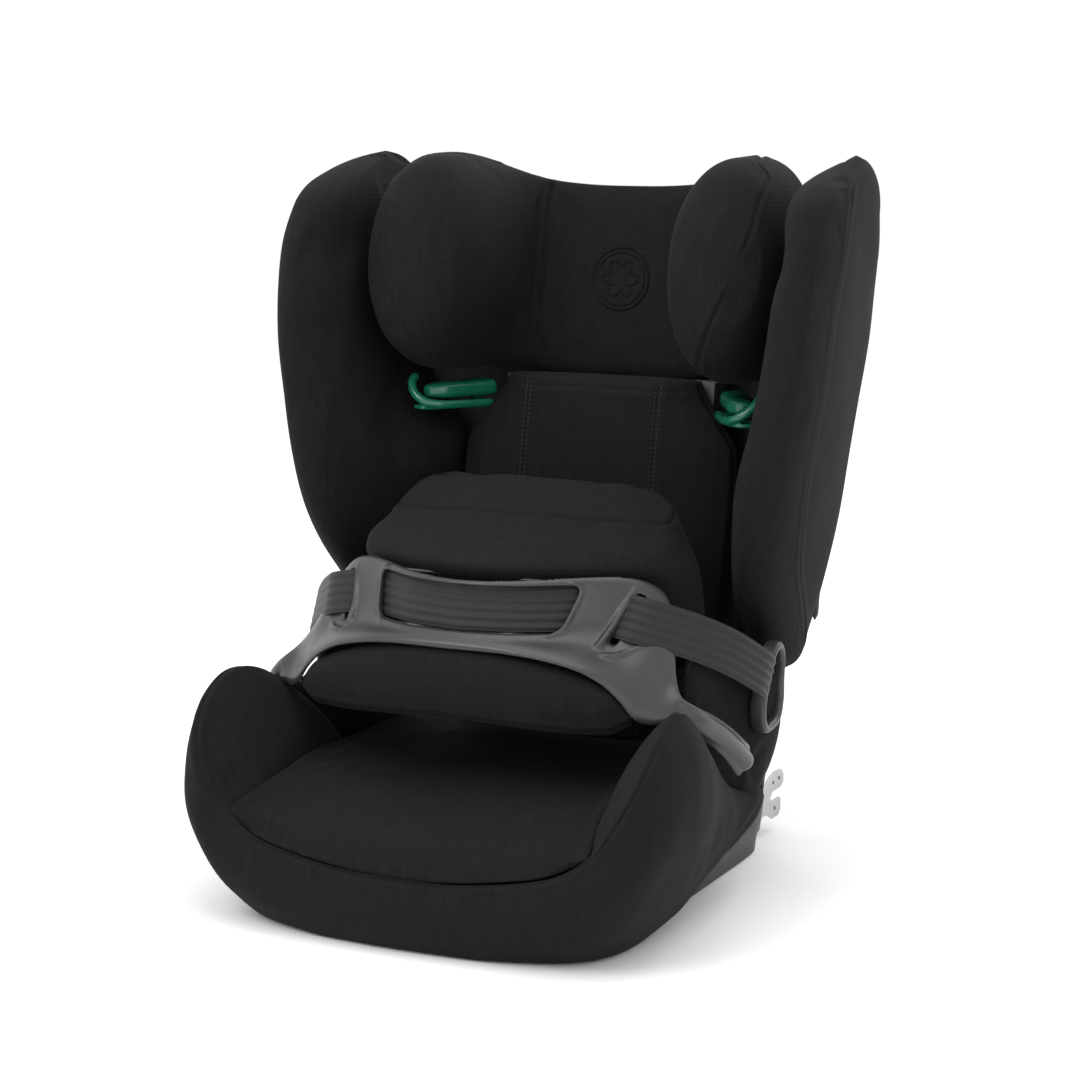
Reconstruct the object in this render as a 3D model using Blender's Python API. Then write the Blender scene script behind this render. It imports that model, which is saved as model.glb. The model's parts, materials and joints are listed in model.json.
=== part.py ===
# High-back child car seat with a padded impact shield, built as separate pieces.
# Units are metres, +Z is up, the child faces -Y, and the ground is z = 0.

import math

import bmesh
import bpy
from mathutils import Vector

# ---------------------------------------------------------------- driving dimensions
GAP = 0.0006                 # clearance between touching pieces
RAKE = math.tan(math.radians(9))   # how far the backrest leans back per metre of height

BASE_HEIGHT = 0.078          # top of the moulded base tray
BASE_HALF_WIDTH = 0.170
BASE_FRONT = 0.236
BASE_REAR = 0.178
TRAY_WALL = 0.004

PAN_HALF_WIDTH = 0.160
WING_THICKNESS = 0.044

HEAD_SEAM_X = 0.080          # where the centre panel meets the head wings
HEAD_SET_BACK = 0.055        # centre panel of the headrest behind the back pad's front

PIVOT = Vector((0, 0.148, 0.094))   # recline pin
PIN_RADIUS = 0.005
PIN_BORE = 0.00508

ISOFIX_X = 0.140             # half of the standard 280 mm anchor spacing
ISOFIX_Z = 0.034

SHIELD_BOW = 3.0             # plan curve of the shield: y rises by SHIELD_BOW * x * x
STRAP_THICKNESS = 0.0016


# ---------------------------------------------------------------- materials
def material(name, colour, roughness, metallic=0.0):
    mat = bpy.data.materials.new(name)
    mat.use_nodes = True
    shader = mat.node_tree.nodes["Principled BSDF"]
    shader.inputs["Base Color"].default_value = (*colour, 1)
    shader.inputs["Roughness"].default_value = roughness
    shader.inputs["Metallic"].default_value = metallic
    mat.diffuse_color = (*colour, 1)
    return mat


FABRIC = ((0.018, 0.018, 0.019), 0.90, 0.0)
FRAME_PLASTIC = ((0.055, 0.056, 0.058), 0.42, 0.0)
BLACK_PLASTIC = ((0.020, 0.020, 0.021), 0.50, 0.0)
GREEN_PLASTIC = ((0.010, 0.130, 0.075), 0.35, 0.0)
RED_PLASTIC = ((0.450, 0.020, 0.020), 0.35, 0.0)
WEBBING = ((0.030, 0.030, 0.031), 0.75, 0.0)
FOAM = ((0.100, 0.100, 0.100), 0.95, 0.0)
STEEL = ((0.600, 0.600, 0.590), 0.35, 1.0)
RUBBER = ((0.015, 0.015, 0.015), 0.85, 0.0)


# ---------------------------------------------------------------- shape helpers
def clear_scene():
    for item in list(bpy.data.objects):
        bpy.data.objects.remove(item, do_unlink=True)


def mix(a, b, t):
    return a + (b - a) * t


def along(stations, x):
    """Smooth value at x through (x, value) stations."""
    if x <= stations[0][0]:
        return stations[0][1]
    for (xa, va), (xb, vb) in zip(stations, stations[1:]):
        if x <= xb:
            t = (x - xa) / (xb - xa)
            return mix(va, vb, t * t * (3 - 2 * t) * 0.35 + t * 0.65)
    return stations[-1][1]


def closed_curve(points, count):
    """Catmull-Rom loop through the points, with count points at even parameters."""
    total = len(points)
    result = []
    for i in range(count):
        s = i * total / count
        k = int(s)
        t = s - k
        p0, p1, p2, p3 = (Vector(points[(k + j - 1) % total]) for j in range(4))
        result.append(0.5 * (2 * p1 + (p2 - p0) * t + (2 * p0 - 5 * p1 + 4 * p2 - p3) * t * t
                             + (3 * p1 - 3 * p2 + p3 - p0) * t ** 3))
    return result


def shrink(ring, factor, shift=(0, 0, 0)):
    centre = sum(ring, Vector()) / len(ring)
    return [centre + (p - centre) * factor + Vector(shift) for p in ring]


def add_object(name, bm, look, smooth=True):
    bmesh.ops.recalc_face_normals(bm, faces=bm.faces)
    mesh = bpy.data.meshes.new(name)
    bm.to_mesh(mesh)
    bm.free()
    if smooth:
        mesh.shade_smooth()
        mesh.set_sharp_from_angle(angle=math.radians(35))
    obj = bpy.data.objects.new(name, mesh)
    bpy.context.collection.objects.link(obj)
    mesh.materials.append(material(name, *look))
    return obj


def set_origin(obj, point):
    """Moves the object's origin to a joint's axis and leaves the shape in place."""
    point = Vector(point)
    for vertex in obj.data.vertices:
        vertex.co -= point
    obj.location = point


def loft(name, rings, look, smooth=True, poles=(0, 0)):
    """Skin over closed rings; each end closes on a centre point moved out by its pole value."""
    bm = bmesh.new()
    loops = [[bm.verts.new(p) for p in ring] for ring in rings]
    for low, high in zip(loops, loops[1:]):
        for i in range(len(low)):
            j = (i + 1) % len(low)
            bm.faces.new((low[i], low[j], high[j], high[i]))
    for end, nxt, pole in ((0, 1, poles[0]), (-1, -2, poles[1])):
        centre = sum((Vector(p) for p in rings[end]), Vector()) / len(rings[end])
        inner = sum((Vector(p) for p in rings[nxt]), Vector()) / len(rings[nxt])
        tip = bm.verts.new(centre + (centre - inner).normalized() * pole)
        for i in range(len(loops[end])):
            bm.faces.new((loops[end][i], loops[end][(i + 1) % len(loops[end])], tip))
    return add_object(name, bm, look, smooth)


def box(name, low, high, look, bevel=0.0):
    bm = bmesh.new()
    bmesh.ops.create_cube(bm, size=1)
    for vertex in bm.verts:
        for k in range(3):
            vertex.co[k] = mix(low[k], high[k], vertex.co[k] + 0.5)
    if bevel:
        bmesh.ops.bevel(bm, geom=bm.edges[:], offset=bevel, segments=1, affect="EDGES")
    return add_object(name, bm, look, smooth=False)


def prism(name, outline, axis, start, end, look):
    """Outline of (u, v) pairs extruded along X (u=y, v=z), Y (u=x, v=z) or Z (u=x, v=y)."""
    place = {
        "X": lambda u, v, w: (w, u, v),
        "Y": lambda u, v, w: (u, w, v),
        "Z": lambda u, v, w: (u, v, w),
    }[axis]
    bm = bmesh.new()
    near = [bm.verts.new(place(u, v, start)) for u, v in outline]
    far = [bm.verts.new(place(u, v, end)) for u, v in outline]
    bm.faces.new(near)
    bm.faces.new(far)
    for i in range(len(outline)):
        j = (i + 1) % len(outline)
        bm.faces.new((near[i], near[j], far[j], far[i]))
    return add_object(name, bm, look, smooth=False)


def rounded_rect(u0, v0, u1, v1, radius, steps=4):
    """Outline of a rectangle with round corners."""
    points = []
    corners = ((u1, v1, 0), (u0, v1, 90), (u0, v0, 180), (u1, v0, 270))
    for u, v, turn in corners:
        cu = u - radius if u == u1 else u + radius
        cv = v - radius if v == v1 else v + radius
        for k in range(steps + 1):
            angle = math.radians(turn + 90 * k / steps)
            points.append((cu + radius * math.cos(angle), cv + radius * math.sin(angle)))
    return points


def circle(u, v, radius, sides=24):
    return [
        (u + radius * math.cos(2 * math.pi * k / sides), v + radius * math.sin(2 * math.pi * k / sides))
        for k in range(sides)
    ]


def rod(name, axis, centre, start, end, radius, look, sides=24):
    """Round bar along an axis; centre holds the two other coordinates."""
    obj = prism(name, circle(*centre, radius, sides), axis, start, end, look)
    obj.data.shade_smooth()
    obj.data.set_sharp_from_angle(angle=math.radians(40))
    return obj


def cut(obj, *cutters):
    """Subtracts the cutters and keeps the result as the object's mesh."""
    for cutter in cutters:
        modifier = obj.modifiers.new("cut", "BOOLEAN")
        modifier.operation = "DIFFERENCE"
        modifier.solver = "EXACT"
        modifier.object = cutter
    bpy.context.view_layer.update()
    graph = bpy.context.evaluated_depsgraph_get()
    mesh = bpy.data.meshes.new_from_object(obj.evaluated_get(graph))
    obj.modifiers.clear()
    obj.data = mesh
    mesh.shade_smooth()
    mesh.set_sharp_from_angle(angle=math.radians(35))
    for cutter in cutters:
        bpy.data.objects.remove(cutter, do_unlink=True)


def flip(points):
    """Mirror image across the middle plane."""
    return [Vector((-p[0], p[1], p[2])) for p in points]


SIDES = (("left", -1), ("right", 1))


# ---------------------------------------------------------------- base tray
def base_outline(z, grow=0.0, count=48):
    """Plan outline of the tray at height z: squarish front corners, straight rear."""
    flare = z / BASE_HEIGHT
    half = BASE_HALF_WIDTH - 0.007 * (1 - flare) + grow
    front = BASE_FRONT - 0.012 * (1 - flare) + grow
    rear = BASE_REAR - 0.012 * (1 - flare) + grow
    ring = []
    for k in range(count):
        angle = 2 * math.pi * k / count
        c, s = math.cos(angle), math.sin(angle)
        power = 2 / 2.9 if s < 0 else 2 / 12.0
        x = half * math.copysign(abs(c) ** power, c)
        y = (front if s < 0 else rear) * math.copysign(abs(s) ** power, s)
        ring.append(Vector((x, y, z)))
    return ring


def make_base():
    look = BLACK_PLASTIC
    deck = BASE_HEIGHT - TRAY_WALL
    inside = [base_outline(z, -TRAY_WALL) for z in (deck, 0.0)]
    outside = [base_outline(z) for z in (0.0, 0.012, 0.045, BASE_HEIGHT)]
    shell = loft("base_shell", inside + outside, look)
    # Slots in the rear wall that the ISOFIX arms leave through.
    for _, side in SIDES:
        x = side * ISOFIX_X
        slot = box("slot", (x - 0.0130, 0.155, -0.004), (x + 0.0130, 0.195, ISOFIX_Z + 0.024), look)
        cut(shell, slot)
    # Finger recess in the front rim for the release handle.
    recess = prism("recess", rounded_rect(-0.050, -0.02, 0.050, 0.024, 0.008), "Y", -0.30, -0.18, look)
    cut(shell, recess)


def make_seat_pads():
    # Pan cushion: thin at the front edge, nearly level behind it.
    top = ((-0.243, 0.0855), (-0.236, 0.094), (-0.220, 0.101), (-0.180, 0.108), (-0.100, 0.114), (0.074, 0.117))
    width = ((-0.243, 0.085), (-0.236, 0.118), (-0.220, 0.140), (-0.180, 0.155), (0.074, PAN_HALF_WIDTH))
    rings = []
    for y in (-0.243, -0.238, -0.226, -0.200, -0.160, -0.100, -0.020, 0.074):
        half = along(width, y)
        high = along(top, y)
        low = BASE_HEIGHT + GAP
        outline = rounded_rect(-half, low, half, high, min(0.010, (high - low) * 0.45), 2)
        rings.append([Vector((u, y, v)) for u, v in outline])
    loft("seat_cushion", rings, FABRIC)

    # Side bolsters: stations along y of inner foot, crest and outer face.
    for name, side in SIDES:
        rings = []
        crest_z = ((-0.238, 0.104), (-0.230, 0.135), (-0.212, 0.168), (-0.180, 0.190), (-0.146, 0.197),
                   (-0.112, 0.186), (-0.085, 0.150), (-0.050, 0.104))
        crest_x = ((-0.238, 0.172), (-0.230, 0.184), (-0.212, 0.198), (-0.146, 0.206), (-0.050, 0.196))
        outer_x = ((-0.238, 0.184), (-0.230, 0.201), (-0.212, 0.216), (-0.146, 0.226), (-0.050, 0.206))
        foot_x = ((-0.238, 0.145), (-0.220, 0.152), (-0.180, 0.164), (-0.050, 0.166))
        for y in (-0.238, -0.232, -0.222, -0.204, -0.176, -0.146, -0.118, -0.098, -0.074, -0.050):
            x_foot = along(foot_x, y)
            x_crest = along(crest_x, y)
            x_out = along(outer_x, y)
            high = along(crest_z, y)
            low = BASE_HEIGHT + GAP
            rise = high - low
            section = (
                (x_foot, low), (x_foot, low + rise * 0.28), (mix(x_foot, x_crest, 0.5), low + rise * 0.75),
                (x_crest, high), (mix(x_crest, x_out, 0.75), low + rise * 0.86),
                (x_out, low + rise * 0.5), (mix(x_out, x_foot, 0.12), low + rise * 0.12),
                (mix(x_out, x_foot, 0.30), low),
            )
            rings.append([Vector((side * u, y, v)) for u, v in closed_flat(section, 16)])
        loft("bolster_" + name, rings, FABRIC)

    make_skirt()


def closed_flat(section, count):
    """Loop through (u, v) pairs; the first and last pair bound a flat foot."""
    low = min(v for _, v in section)
    ring = closed_curve([(u, v, 0) for u, v in section], count)
    return [(p.x, max(p.y, low)) for p in ring]


def make_skirt():
    """Fabric apron round the front and sides of the tray."""
    stations = 33
    loops = []
    for k in range(stations):
        angle = math.radians(mix(2, -182, k / (stations - 1)))
        c, s = math.cos(angle), math.sin(angle)

        def point(side_grow, front_grow, z, squareness=2.9):
            depth = BASE_FRONT + front_grow if s < 0 else BASE_REAR
            power = 2 / squareness if s < 0 else 2 / 12.0
            x = (BASE_HALF_WIDTH + side_grow) * math.copysign(abs(c) ** power, c)
            y = depth * math.copysign(abs(s) ** power, s)
            return Vector((x, y, z))

        hem = 0.008 + 0.23 * max(0.0, point(0, 0, 0).y + 0.09)
        top = BASE_HEIGHT - 0.0015
        tail = 1 - 0.6 * min(1.0, max(0.0, point(0, 0, 0).y + 0.05) / 0.15)
        loops.append((
            point(0.0012, 0.0012, hem), point(0.014 * tail, 0.013, hem, 3.3),
            point(0.035 * tail, 0.0190, mix(hem, top, 0.5), 3.7), point(0.047 * tail, 0.0205, top - 0.010, 4.2),
            point(0.048 * tail, 0.0200, top, 4.2), point(0.0012, 0.0012, top),
        ))
    loft("seat_skirt", loops, FABRIC)


# ---------------------------------------------------------------- hips and strap guides
def make_hips():
    low = BASE_HEIGHT + GAP
    for name, side in SIDES:
        outer = ((-0.058, 0.177), (-0.010, 0.184), (0.006, 0.194), (0.030, 0.212), (0.060, 0.216), (0.078, 0.210))
        high = ((-0.058, 0.214), (-0.046, 0.230), (-0.026, 0.238), (0.020, 0.232), (0.060, 0.214), (0.078, 0.196))
        rings = []
        for y in (-0.058, -0.050, -0.030, -0.010, 0.006, 0.030, 0.054, 0.070, 0.078):
            x_out = along(outer, y)
            top = along(high, y)
            foot = max(low, 0.112 - 1.3 * (y + 0.046))
            outline = rounded_rect(0.170, foot, x_out, top, 0.0055, 3)
            rings.append([Vector((side * u, y, v)) for u, v in outline])
        loft("hip_pad_" + name, rings, FABRIC)
        make_strap_guide(name, side)


def make_strap_guide(name, side):
    """D-shaped plastic eye let into the hip, with its slot running through to the inside."""
    outline = [(0.006, 0.158), (0.006, 0.176), (0.034, 0.218), (0.050, 0.222), (0.056, 0.212), (0.056, 0.170),
               (0.046, 0.150), (0.018, 0.146)]
    ring = [(p.x, p.y) for p in closed_curve([(u, v, 0) for u, v in outline], 24)]
    x0, x1 = sorted((side * 0.196, side * 0.2215))
    pocket = prism("pocket", [(mix(0.033, u, 1.02), mix(0.184, v, 1.02)) for u, v in ring], "X",
                   *sorted((side * 0.1955, side * 0.24)), FABRIC)
    hip = bpy.data.objects["hip_pad_" + name]
    cut(hip, pocket)
    guide = prism("strap_guide_" + name, ring, "X", x0, x1, BLACK_PLASTIC)
    slot = prism("slot", [(0.016, 0.164), (0.023, 0.157), (0.049, 0.198), (0.042, 0.206)], "X",
                 *sorted((side * 0.19, side * 0.23)), BLACK_PLASTIC)
    cut(guide, slot)


# ---------------------------------------------------------------- backrest
def back_front(z):
    """Y of the back pad's front face on the middle plane."""
    return 0.117 + RAKE * (z - 0.34)


BACK_HALF = ((0.098, 0.108), (0.145, 0.126), (0.200, 0.132), (0.330, 0.138), (0.370, 0.136), (0.395, 0.115),
             (0.415, 0.101), (0.445, 0.088))
WING_OUT = ((0.172, 0.190), (0.193, 0.209), (0.240, 0.221), (0.313, 0.235), (0.404, 0.249), (0.466, 0.258),
            (0.554, 0.264), (0.632, 0.260))
WING_NOSE = ((0.172, 0.118), (0.200, 0.086), (0.237, 0.050), (0.283, 0.011), (0.322, -0.005), (0.380, -0.013),
             (0.468, -0.008), (0.520, 0.000), (0.557, 0.013), (0.602, 0.038), (0.632, 0.082))
WING_ROOT = ((0.172, 0.150), (0.370, 0.146), (0.446, 0.212), (0.632, 0.216))


def make_back_pads():
    rings = []
    for z in (0.098, 0.105, 0.130, 0.200, 0.270, 0.340, 0.372, 0.395, 0.415, 0.432, 0.443):
        half = along(BACK_HALF, z)
        front = back_front(z)
        thin = 0.008 if z in (0.098, 0.443) else 0.0
        section = [
            (0, front + thin), (half * 0.55, front + thin + 0.002), (half * 0.88, front + 0.015),
            (half, front + 0.030), (half * 0.97, front + 0.039 - thin), (half * 0.5, front + 0.040 - thin),
            (0, front + 0.040 - thin), (-half * 0.5, front + 0.040 - thin), (-half * 0.97, front + 0.039 - thin),
            (-half, front + 0.030), (-half * 0.88, front + 0.015), (-half * 0.55, front + thin + 0.002),
        ]
        rings.append([Vector((u, v, z)) for u, v in section])
    loft("back_pad", rings, FABRIC)

    heights = (0.178, 0.186, 0.205, 0.237, 0.275, 0.320, 0.375, 0.410, 0.446, 0.500, 0.550, 0.590, 0.612, 0.626)
    for name, side in SIDES:
        rings = []
        for z in heights:
            out = along(WING_OUT, z)
            nose = along(WING_NOSE, z)
            root = along(WING_ROOT, z)
            front = back_front(z)
            inner = out - WING_THICKNESS
            rear = front + 0.056
            tuck = along(((0.30, 0.004), (0.56, 0.022)), z)
            section = [
                (root, front + 0.030, z), (mix(root, inner, 0.55), mix(front + 0.030, nose, 0.50), z),
                (inner, nose + 0.018, z), (out - 0.022, nose - 0.003, z), (out - 0.001, nose + 0.014, z),
                (out + 0.001, mix(nose, rear, 0.50), z), (out - 0.6 * tuck, rear - 0.016, z),
                (out - 0.008 - tuck, rear, z),
                (mix(root, out, 0.25), rear, z), (root + 0.002, rear - 0.006, z),
            ]
            ring = closed_curve(section, 20)
            if z in (heights[0], heights[-1]):
                ring = shrink(ring, 0.86)
            rings.append(ring if side > 0 else flip(ring))
        loft("wing_pad_" + name, rings, FABRIC, poles=(0.002, 0.004))


def shell_plan(x, z):
    """Y of the rear shell's front face at x, height z."""
    front = back_front(z)
    return front + mix(0.094, 0.0575, min(1.0, max(0.0, (abs(x) - 0.135) / 0.090)) ** 1.7)


def make_back_shell():
    bm = bmesh.new()
    columns = [-1 + 2 * k / 20 for k in range(21)]
    heights = (0.106, 0.150, 0.200, 0.260, 0.340, 0.420, 0.500, 0.560, 0.602)
    grids = []
    for depth in (0.0, 0.004):
        grid = []
        for z in heights:
            half = along(((0.106, 0.135), (0.150, 0.162), (0.193, 0.192), (0.240, 0.206), (0.404, 0.228),
                          (0.554, 0.238), (0.620, 0.234)), z)
            top = 1.0 if z < heights[-1] else 0.92
            row = []
            for c in columns:
                x = half * c * top
                dip = 0.045 * max(0.0, 1 - abs(c) / 0.6) ** 2 if z == heights[-1] else 0.0
                height = z - dip
                row.append(bm.verts.new((x, shell_plan(x, height) + depth, height)))
            grid.append(row)
        grids.append(grid)
    inner, outer = grids
    last = len(columns) - 1
    for r in range(len(heights) - 1):
        for c in range(last):
            bm.faces.new((inner[r][c], inner[r][c + 1], inner[r + 1][c + 1], inner[r + 1][c]))
            bm.faces.new((outer[r][c], outer[r][c + 1], outer[r + 1][c + 1], outer[r + 1][c]))
        for c in (0, last):
            bm.faces.new((inner[r][c], inner[r + 1][c], outer[r + 1][c], outer[r][c]))
    for r in (0, len(heights) - 1):
        for c in range(last):
            bm.faces.new((inner[r][c], inner[r][c + 1], outer[r][c + 1], outer[r][c]))
    shell = add_object("back_shell", bm, BLACK_PLASTIC)
    # Window in the rear that shows the headrest's stem.
    window = prism("window", rounded_rect(-0.030, 0.300, 0.030, 0.470, 0.012), "Y", 0.10, 0.40, BLACK_PLASTIC)
    cut(shell, window)


def raked_box(name, x0, x1, z0, z1, near, far, look):
    """Block that leans with the backrest, near and far measured from the pad's front face."""
    outline = [
        (back_front(z0) + near, z0), (back_front(z0) + far, z0),
        (back_front(z1) + far, z1), (back_front(z1) + near, z1),
    ]
    return prism(name, outline, "X", x0, x1, look)


def make_back_structure():
    raked_box("back_core", -0.105, 0.105, 0.150, 0.428, 0.0410, 0.0740, FOAM)
    for name, side in SIDES:
        low, high = sorted((side * 0.0365, side * 0.0465))
        rail = raked_box("head_rail_" + name, low, high, 0.255, 0.560, 0.0806, 0.0934, STEEL)
        groove = raked_box("groove", *sorted((side * 0.030, side * 0.0405)), 0.24, 0.58, 0.0836, 0.0904, STEEL)
        cut(rail, groove)
    rack = raked_box("height_rack", -0.012, 0.012, 0.300, 0.560, 0.0906, 0.0934, BLACK_PLASTIC)
    pitch = RACK_TRAVEL / RACK_STEPS
    holes = []
    for k in range(RACK_STEPS + 1):
        z = RACK_FIRST + pitch * k
        holes.append(raked_box("hole", -0.0045, 0.0045, z - 0.0040, z + 0.0040, 0.0860, 0.0980, BLACK_PLASTIC))
    cut(rack, *holes)

    # Two hooks hang the backrest on the recline pin.
    for name, side in SIDES:
        outline = [(0.136, 0.086), (0.142, 0.081), (0.156, 0.081), (0.1745, 0.112), (0.1745, 0.138),
                   (0.150, 0.118), (0.136, 0.102)]
        hook = prism("hinge_hook_" + name, outline, "X", *sorted((side * 0.096, side * 0.120)), BLACK_PLASTIC)
        bore = rod("bore", "X", (PIVOT.y, PIVOT.z), *sorted((side * 0.09, side * 0.13)), PIN_BORE, BLACK_PLASTIC, 32)
        cut(hook, bore)
        set_origin(hook, PIVOT)


def make_pivot():
    for name, side in SIDES:
        low, high = sorted((side * 0.1215, side * 0.1290))
        outline = [(0.132, 0.0786), (0.164, 0.0786), (0.160, 0.102), (0.154, 0.106), (0.142, 0.106), (0.136, 0.102)]
        bracket = prism("hinge_bracket_" + name, outline, "X", low, high, STEEL)
        bore = rod("bore", "X", (PIVOT.y, PIVOT.z), low - 0.01, high + 0.01, PIN_BORE, STEEL, 32)
        cut(bracket, bore)
    rod("recline_pin", "X", (PIVOT.y, PIVOT.z), -0.134, 0.134, PIN_RADIUS, STEEL, 32)


# ---------------------------------------------------------------- headrest
RACK_TRAVEL = 0.168
RACK_STEPS = 12
RACK_FIRST = 0.352           # height of the lock bolt with the headrest right down

HEAD_REACH = ((0.434, 0.062), (0.446, 0.102), (0.470, 0.136), (0.500, 0.155), (0.540, 0.161), (0.575, 0.150),
              (0.600, 0.128), (0.618, 0.100), (0.632, 0.062))
HEAD_OUT = ((0.434, 0.176), (0.455, 0.192), (0.500, 0.201), (0.560, 0.203), (0.605, 0.196), (0.632, 0.176))


def head_back(z):
    return back_front(z) + HEAD_SET_BACK


def make_headrest():
    # Centre panel, dished between the wings.
    rings = []
    for z, thin in ((0.440, 0.006), (0.446, 0), (0.500, 0), (0.550, 0), (0.590, 0), (0.603, 0.006)):
        front = head_back(z)
        half = HEAD_SEAM_X - 0.0015
        section = [(-half, front - 0.004), (0, front + thin), (half, front - 0.004),
                   (half, front + 0.0200), (0, front + 0.0200), (-half, front + 0.0200)]
        rings.append([Vector((u, v, z)) for u, v in section])
    loft("head_pad_center", rings, FABRIC)

    heights = (0.435, 0.443, 0.458, 0.485, 0.515, 0.545, 0.575, 0.600, 0.617, 0.630)
    for name, side in SIDES:
        rings = []
        for z in heights:
            back = head_back(z)
            reach = along(HEAD_REACH, z)
            out = along(HEAD_OUT, z)
            section = [
                (HEAD_SEAM_X, back, z), (0.118, back - reach * 0.20, z), (0.138, back - reach * 0.52, z),
                (out - 0.052, back - reach * 0.84, z), (out - 0.034, back - reach, z),
                (out - 0.014, back - reach * 0.985, z), (out, back - reach * 0.80, z),
                (out, back - reach * 0.42, z), (out - 0.006, back - 0.006, z), (out - 0.030, back + 0.016, z),
                (0.130, back + 0.0195, z), (HEAD_SEAM_X + 0.002, back + 0.0195, z),
            ]
            ring = [Vector((max(p.x, HEAD_SEAM_X - 0.0005), p.y, p.z)) for p in closed_curve(section, 20)]
            if z in (heights[0], heights[-1]):
                ring = shrink(ring, 0.84)
            rings.append(ring if side > 0 else flip(ring))
        loft("head_wing_pad_" + name, rings, FABRIC, poles=(0.002, 0.004))

    # Hard shell behind the pads.
    bm = bmesh.new()
    grids = []
    heights = (0.440, 0.470, 0.520, 0.570, 0.600)
    columns = [-1 + 2 * k / 14 for k in range(15)]
    for depth in (0.0216, 0.0244):
        grid = []
        for z in heights:
            row = []
            for c in columns:
                x = 0.170 * c
                bend = 0.0 if abs(x) < 0.14 else (abs(x) - 0.14) * 0.10
                row.append(bm.verts.new((x, head_back(z) + depth - bend, z)))
            grid.append(row)
        grids.append(grid)
    near, far = grids
    last = len(columns) - 1
    for r in range(len(heights) - 1):
        for c in range(last):
            bm.faces.new((near[r][c], near[r][c + 1], near[r + 1][c + 1], near[r + 1][c]))
            bm.faces.new((far[r][c], far[r][c + 1], far[r + 1][c + 1], far[r + 1][c]))
        for c in (0, last):
            bm.faces.new((near[r][c], near[r + 1][c], far[r + 1][c], far[r][c]))
    for r in (0, len(heights) - 1):
        for c in range(last):
            bm.faces.new((near[r][c], near[r][c + 1], far[r][c + 1], far[r][c]))
    add_object("head_shell", bm, BLACK_PLASTIC)

    # Stem that runs in the rails, and the lock bolt that passes through it to the rack.
    stem = raked_box("head_stem", -0.0398, 0.0398, 0.330, 0.560, 0.0842, 0.0898, STEEL)
    bolt_low, bolt_high = RACK_FIRST - 0.0030, RACK_FIRST + 0.0030
    cut(stem, raked_box("eye", -0.0040, 0.0040, bolt_low - 0.001, bolt_high + 0.001, 0.0800, 0.0940, STEEL))
    bolt = raked_box("lock_bolt", -0.0030, 0.0030, bolt_low, bolt_high, 0.0812, 0.0902, STEEL)
    set_origin(bolt, (0, back_front(RACK_FIRST) + 0.0857, RACK_FIRST))

    for name, side in SIDES:
        make_belt_guide(name, side)
    make_head_lever()


def make_belt_guide(name, side):
    """Green hook under the head wing; the shoulder belt lies in its slot."""
    inner_end = Vector((0.127, 0.171))
    outer_end = Vector((0.166, 0.098))
    run = (outer_end - inner_end)
    length = run.length
    run.normalize()
    across = Vector((-run.y, run.x))
    profile = rounded_rect(0.0, 0.396, length, 0.431, 0.006, 3)
    slot = rounded_rect(-0.02, 0.4085, length - 0.014, 0.4175, 0.004, 3)

    def slab(label, outline, half):
        bm = bmesh.new()
        faces = []
        for shift in (-half, half):
            loop = []
            for s, z in outline:
                spot = inner_end + run * s + across * shift
                loop.append(bm.verts.new((side * spot.x, spot.y, z)))
            faces.append(loop)
            bm.faces.new(loop)
        near, far = faces
        for i in range(len(near)):
            j = (i + 1) % len(near)
            bm.faces.new((near[i], near[j], far[j], far[i]))
        return add_object(label, bm, GREEN_PLASTIC, smooth=False)

    guide = slab("belt_guide_" + name, profile, 0.007)
    cut(guide, slab("slot", slot, 0.02))


def make_head_lever():
    """Squeeze lever at the top rear of the headrest, hinged along X."""
    z0, z1 = 0.572, 0.600
    lever = raked_box("head_adjust_lever", -0.034, 0.034, z0, z1, HEAD_SET_BACK + 0.0250, HEAD_SET_BACK + 0.0305,
                      FRAME_PLASTIC)
    set_origin(lever, (0, back_front(z1) + HEAD_SET_BACK + 0.0273, z1 - 0.002))


# ---------------------------------------------------------------- impact shield
def bow(x):
    return SHIELD_BOW * x * x


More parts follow.
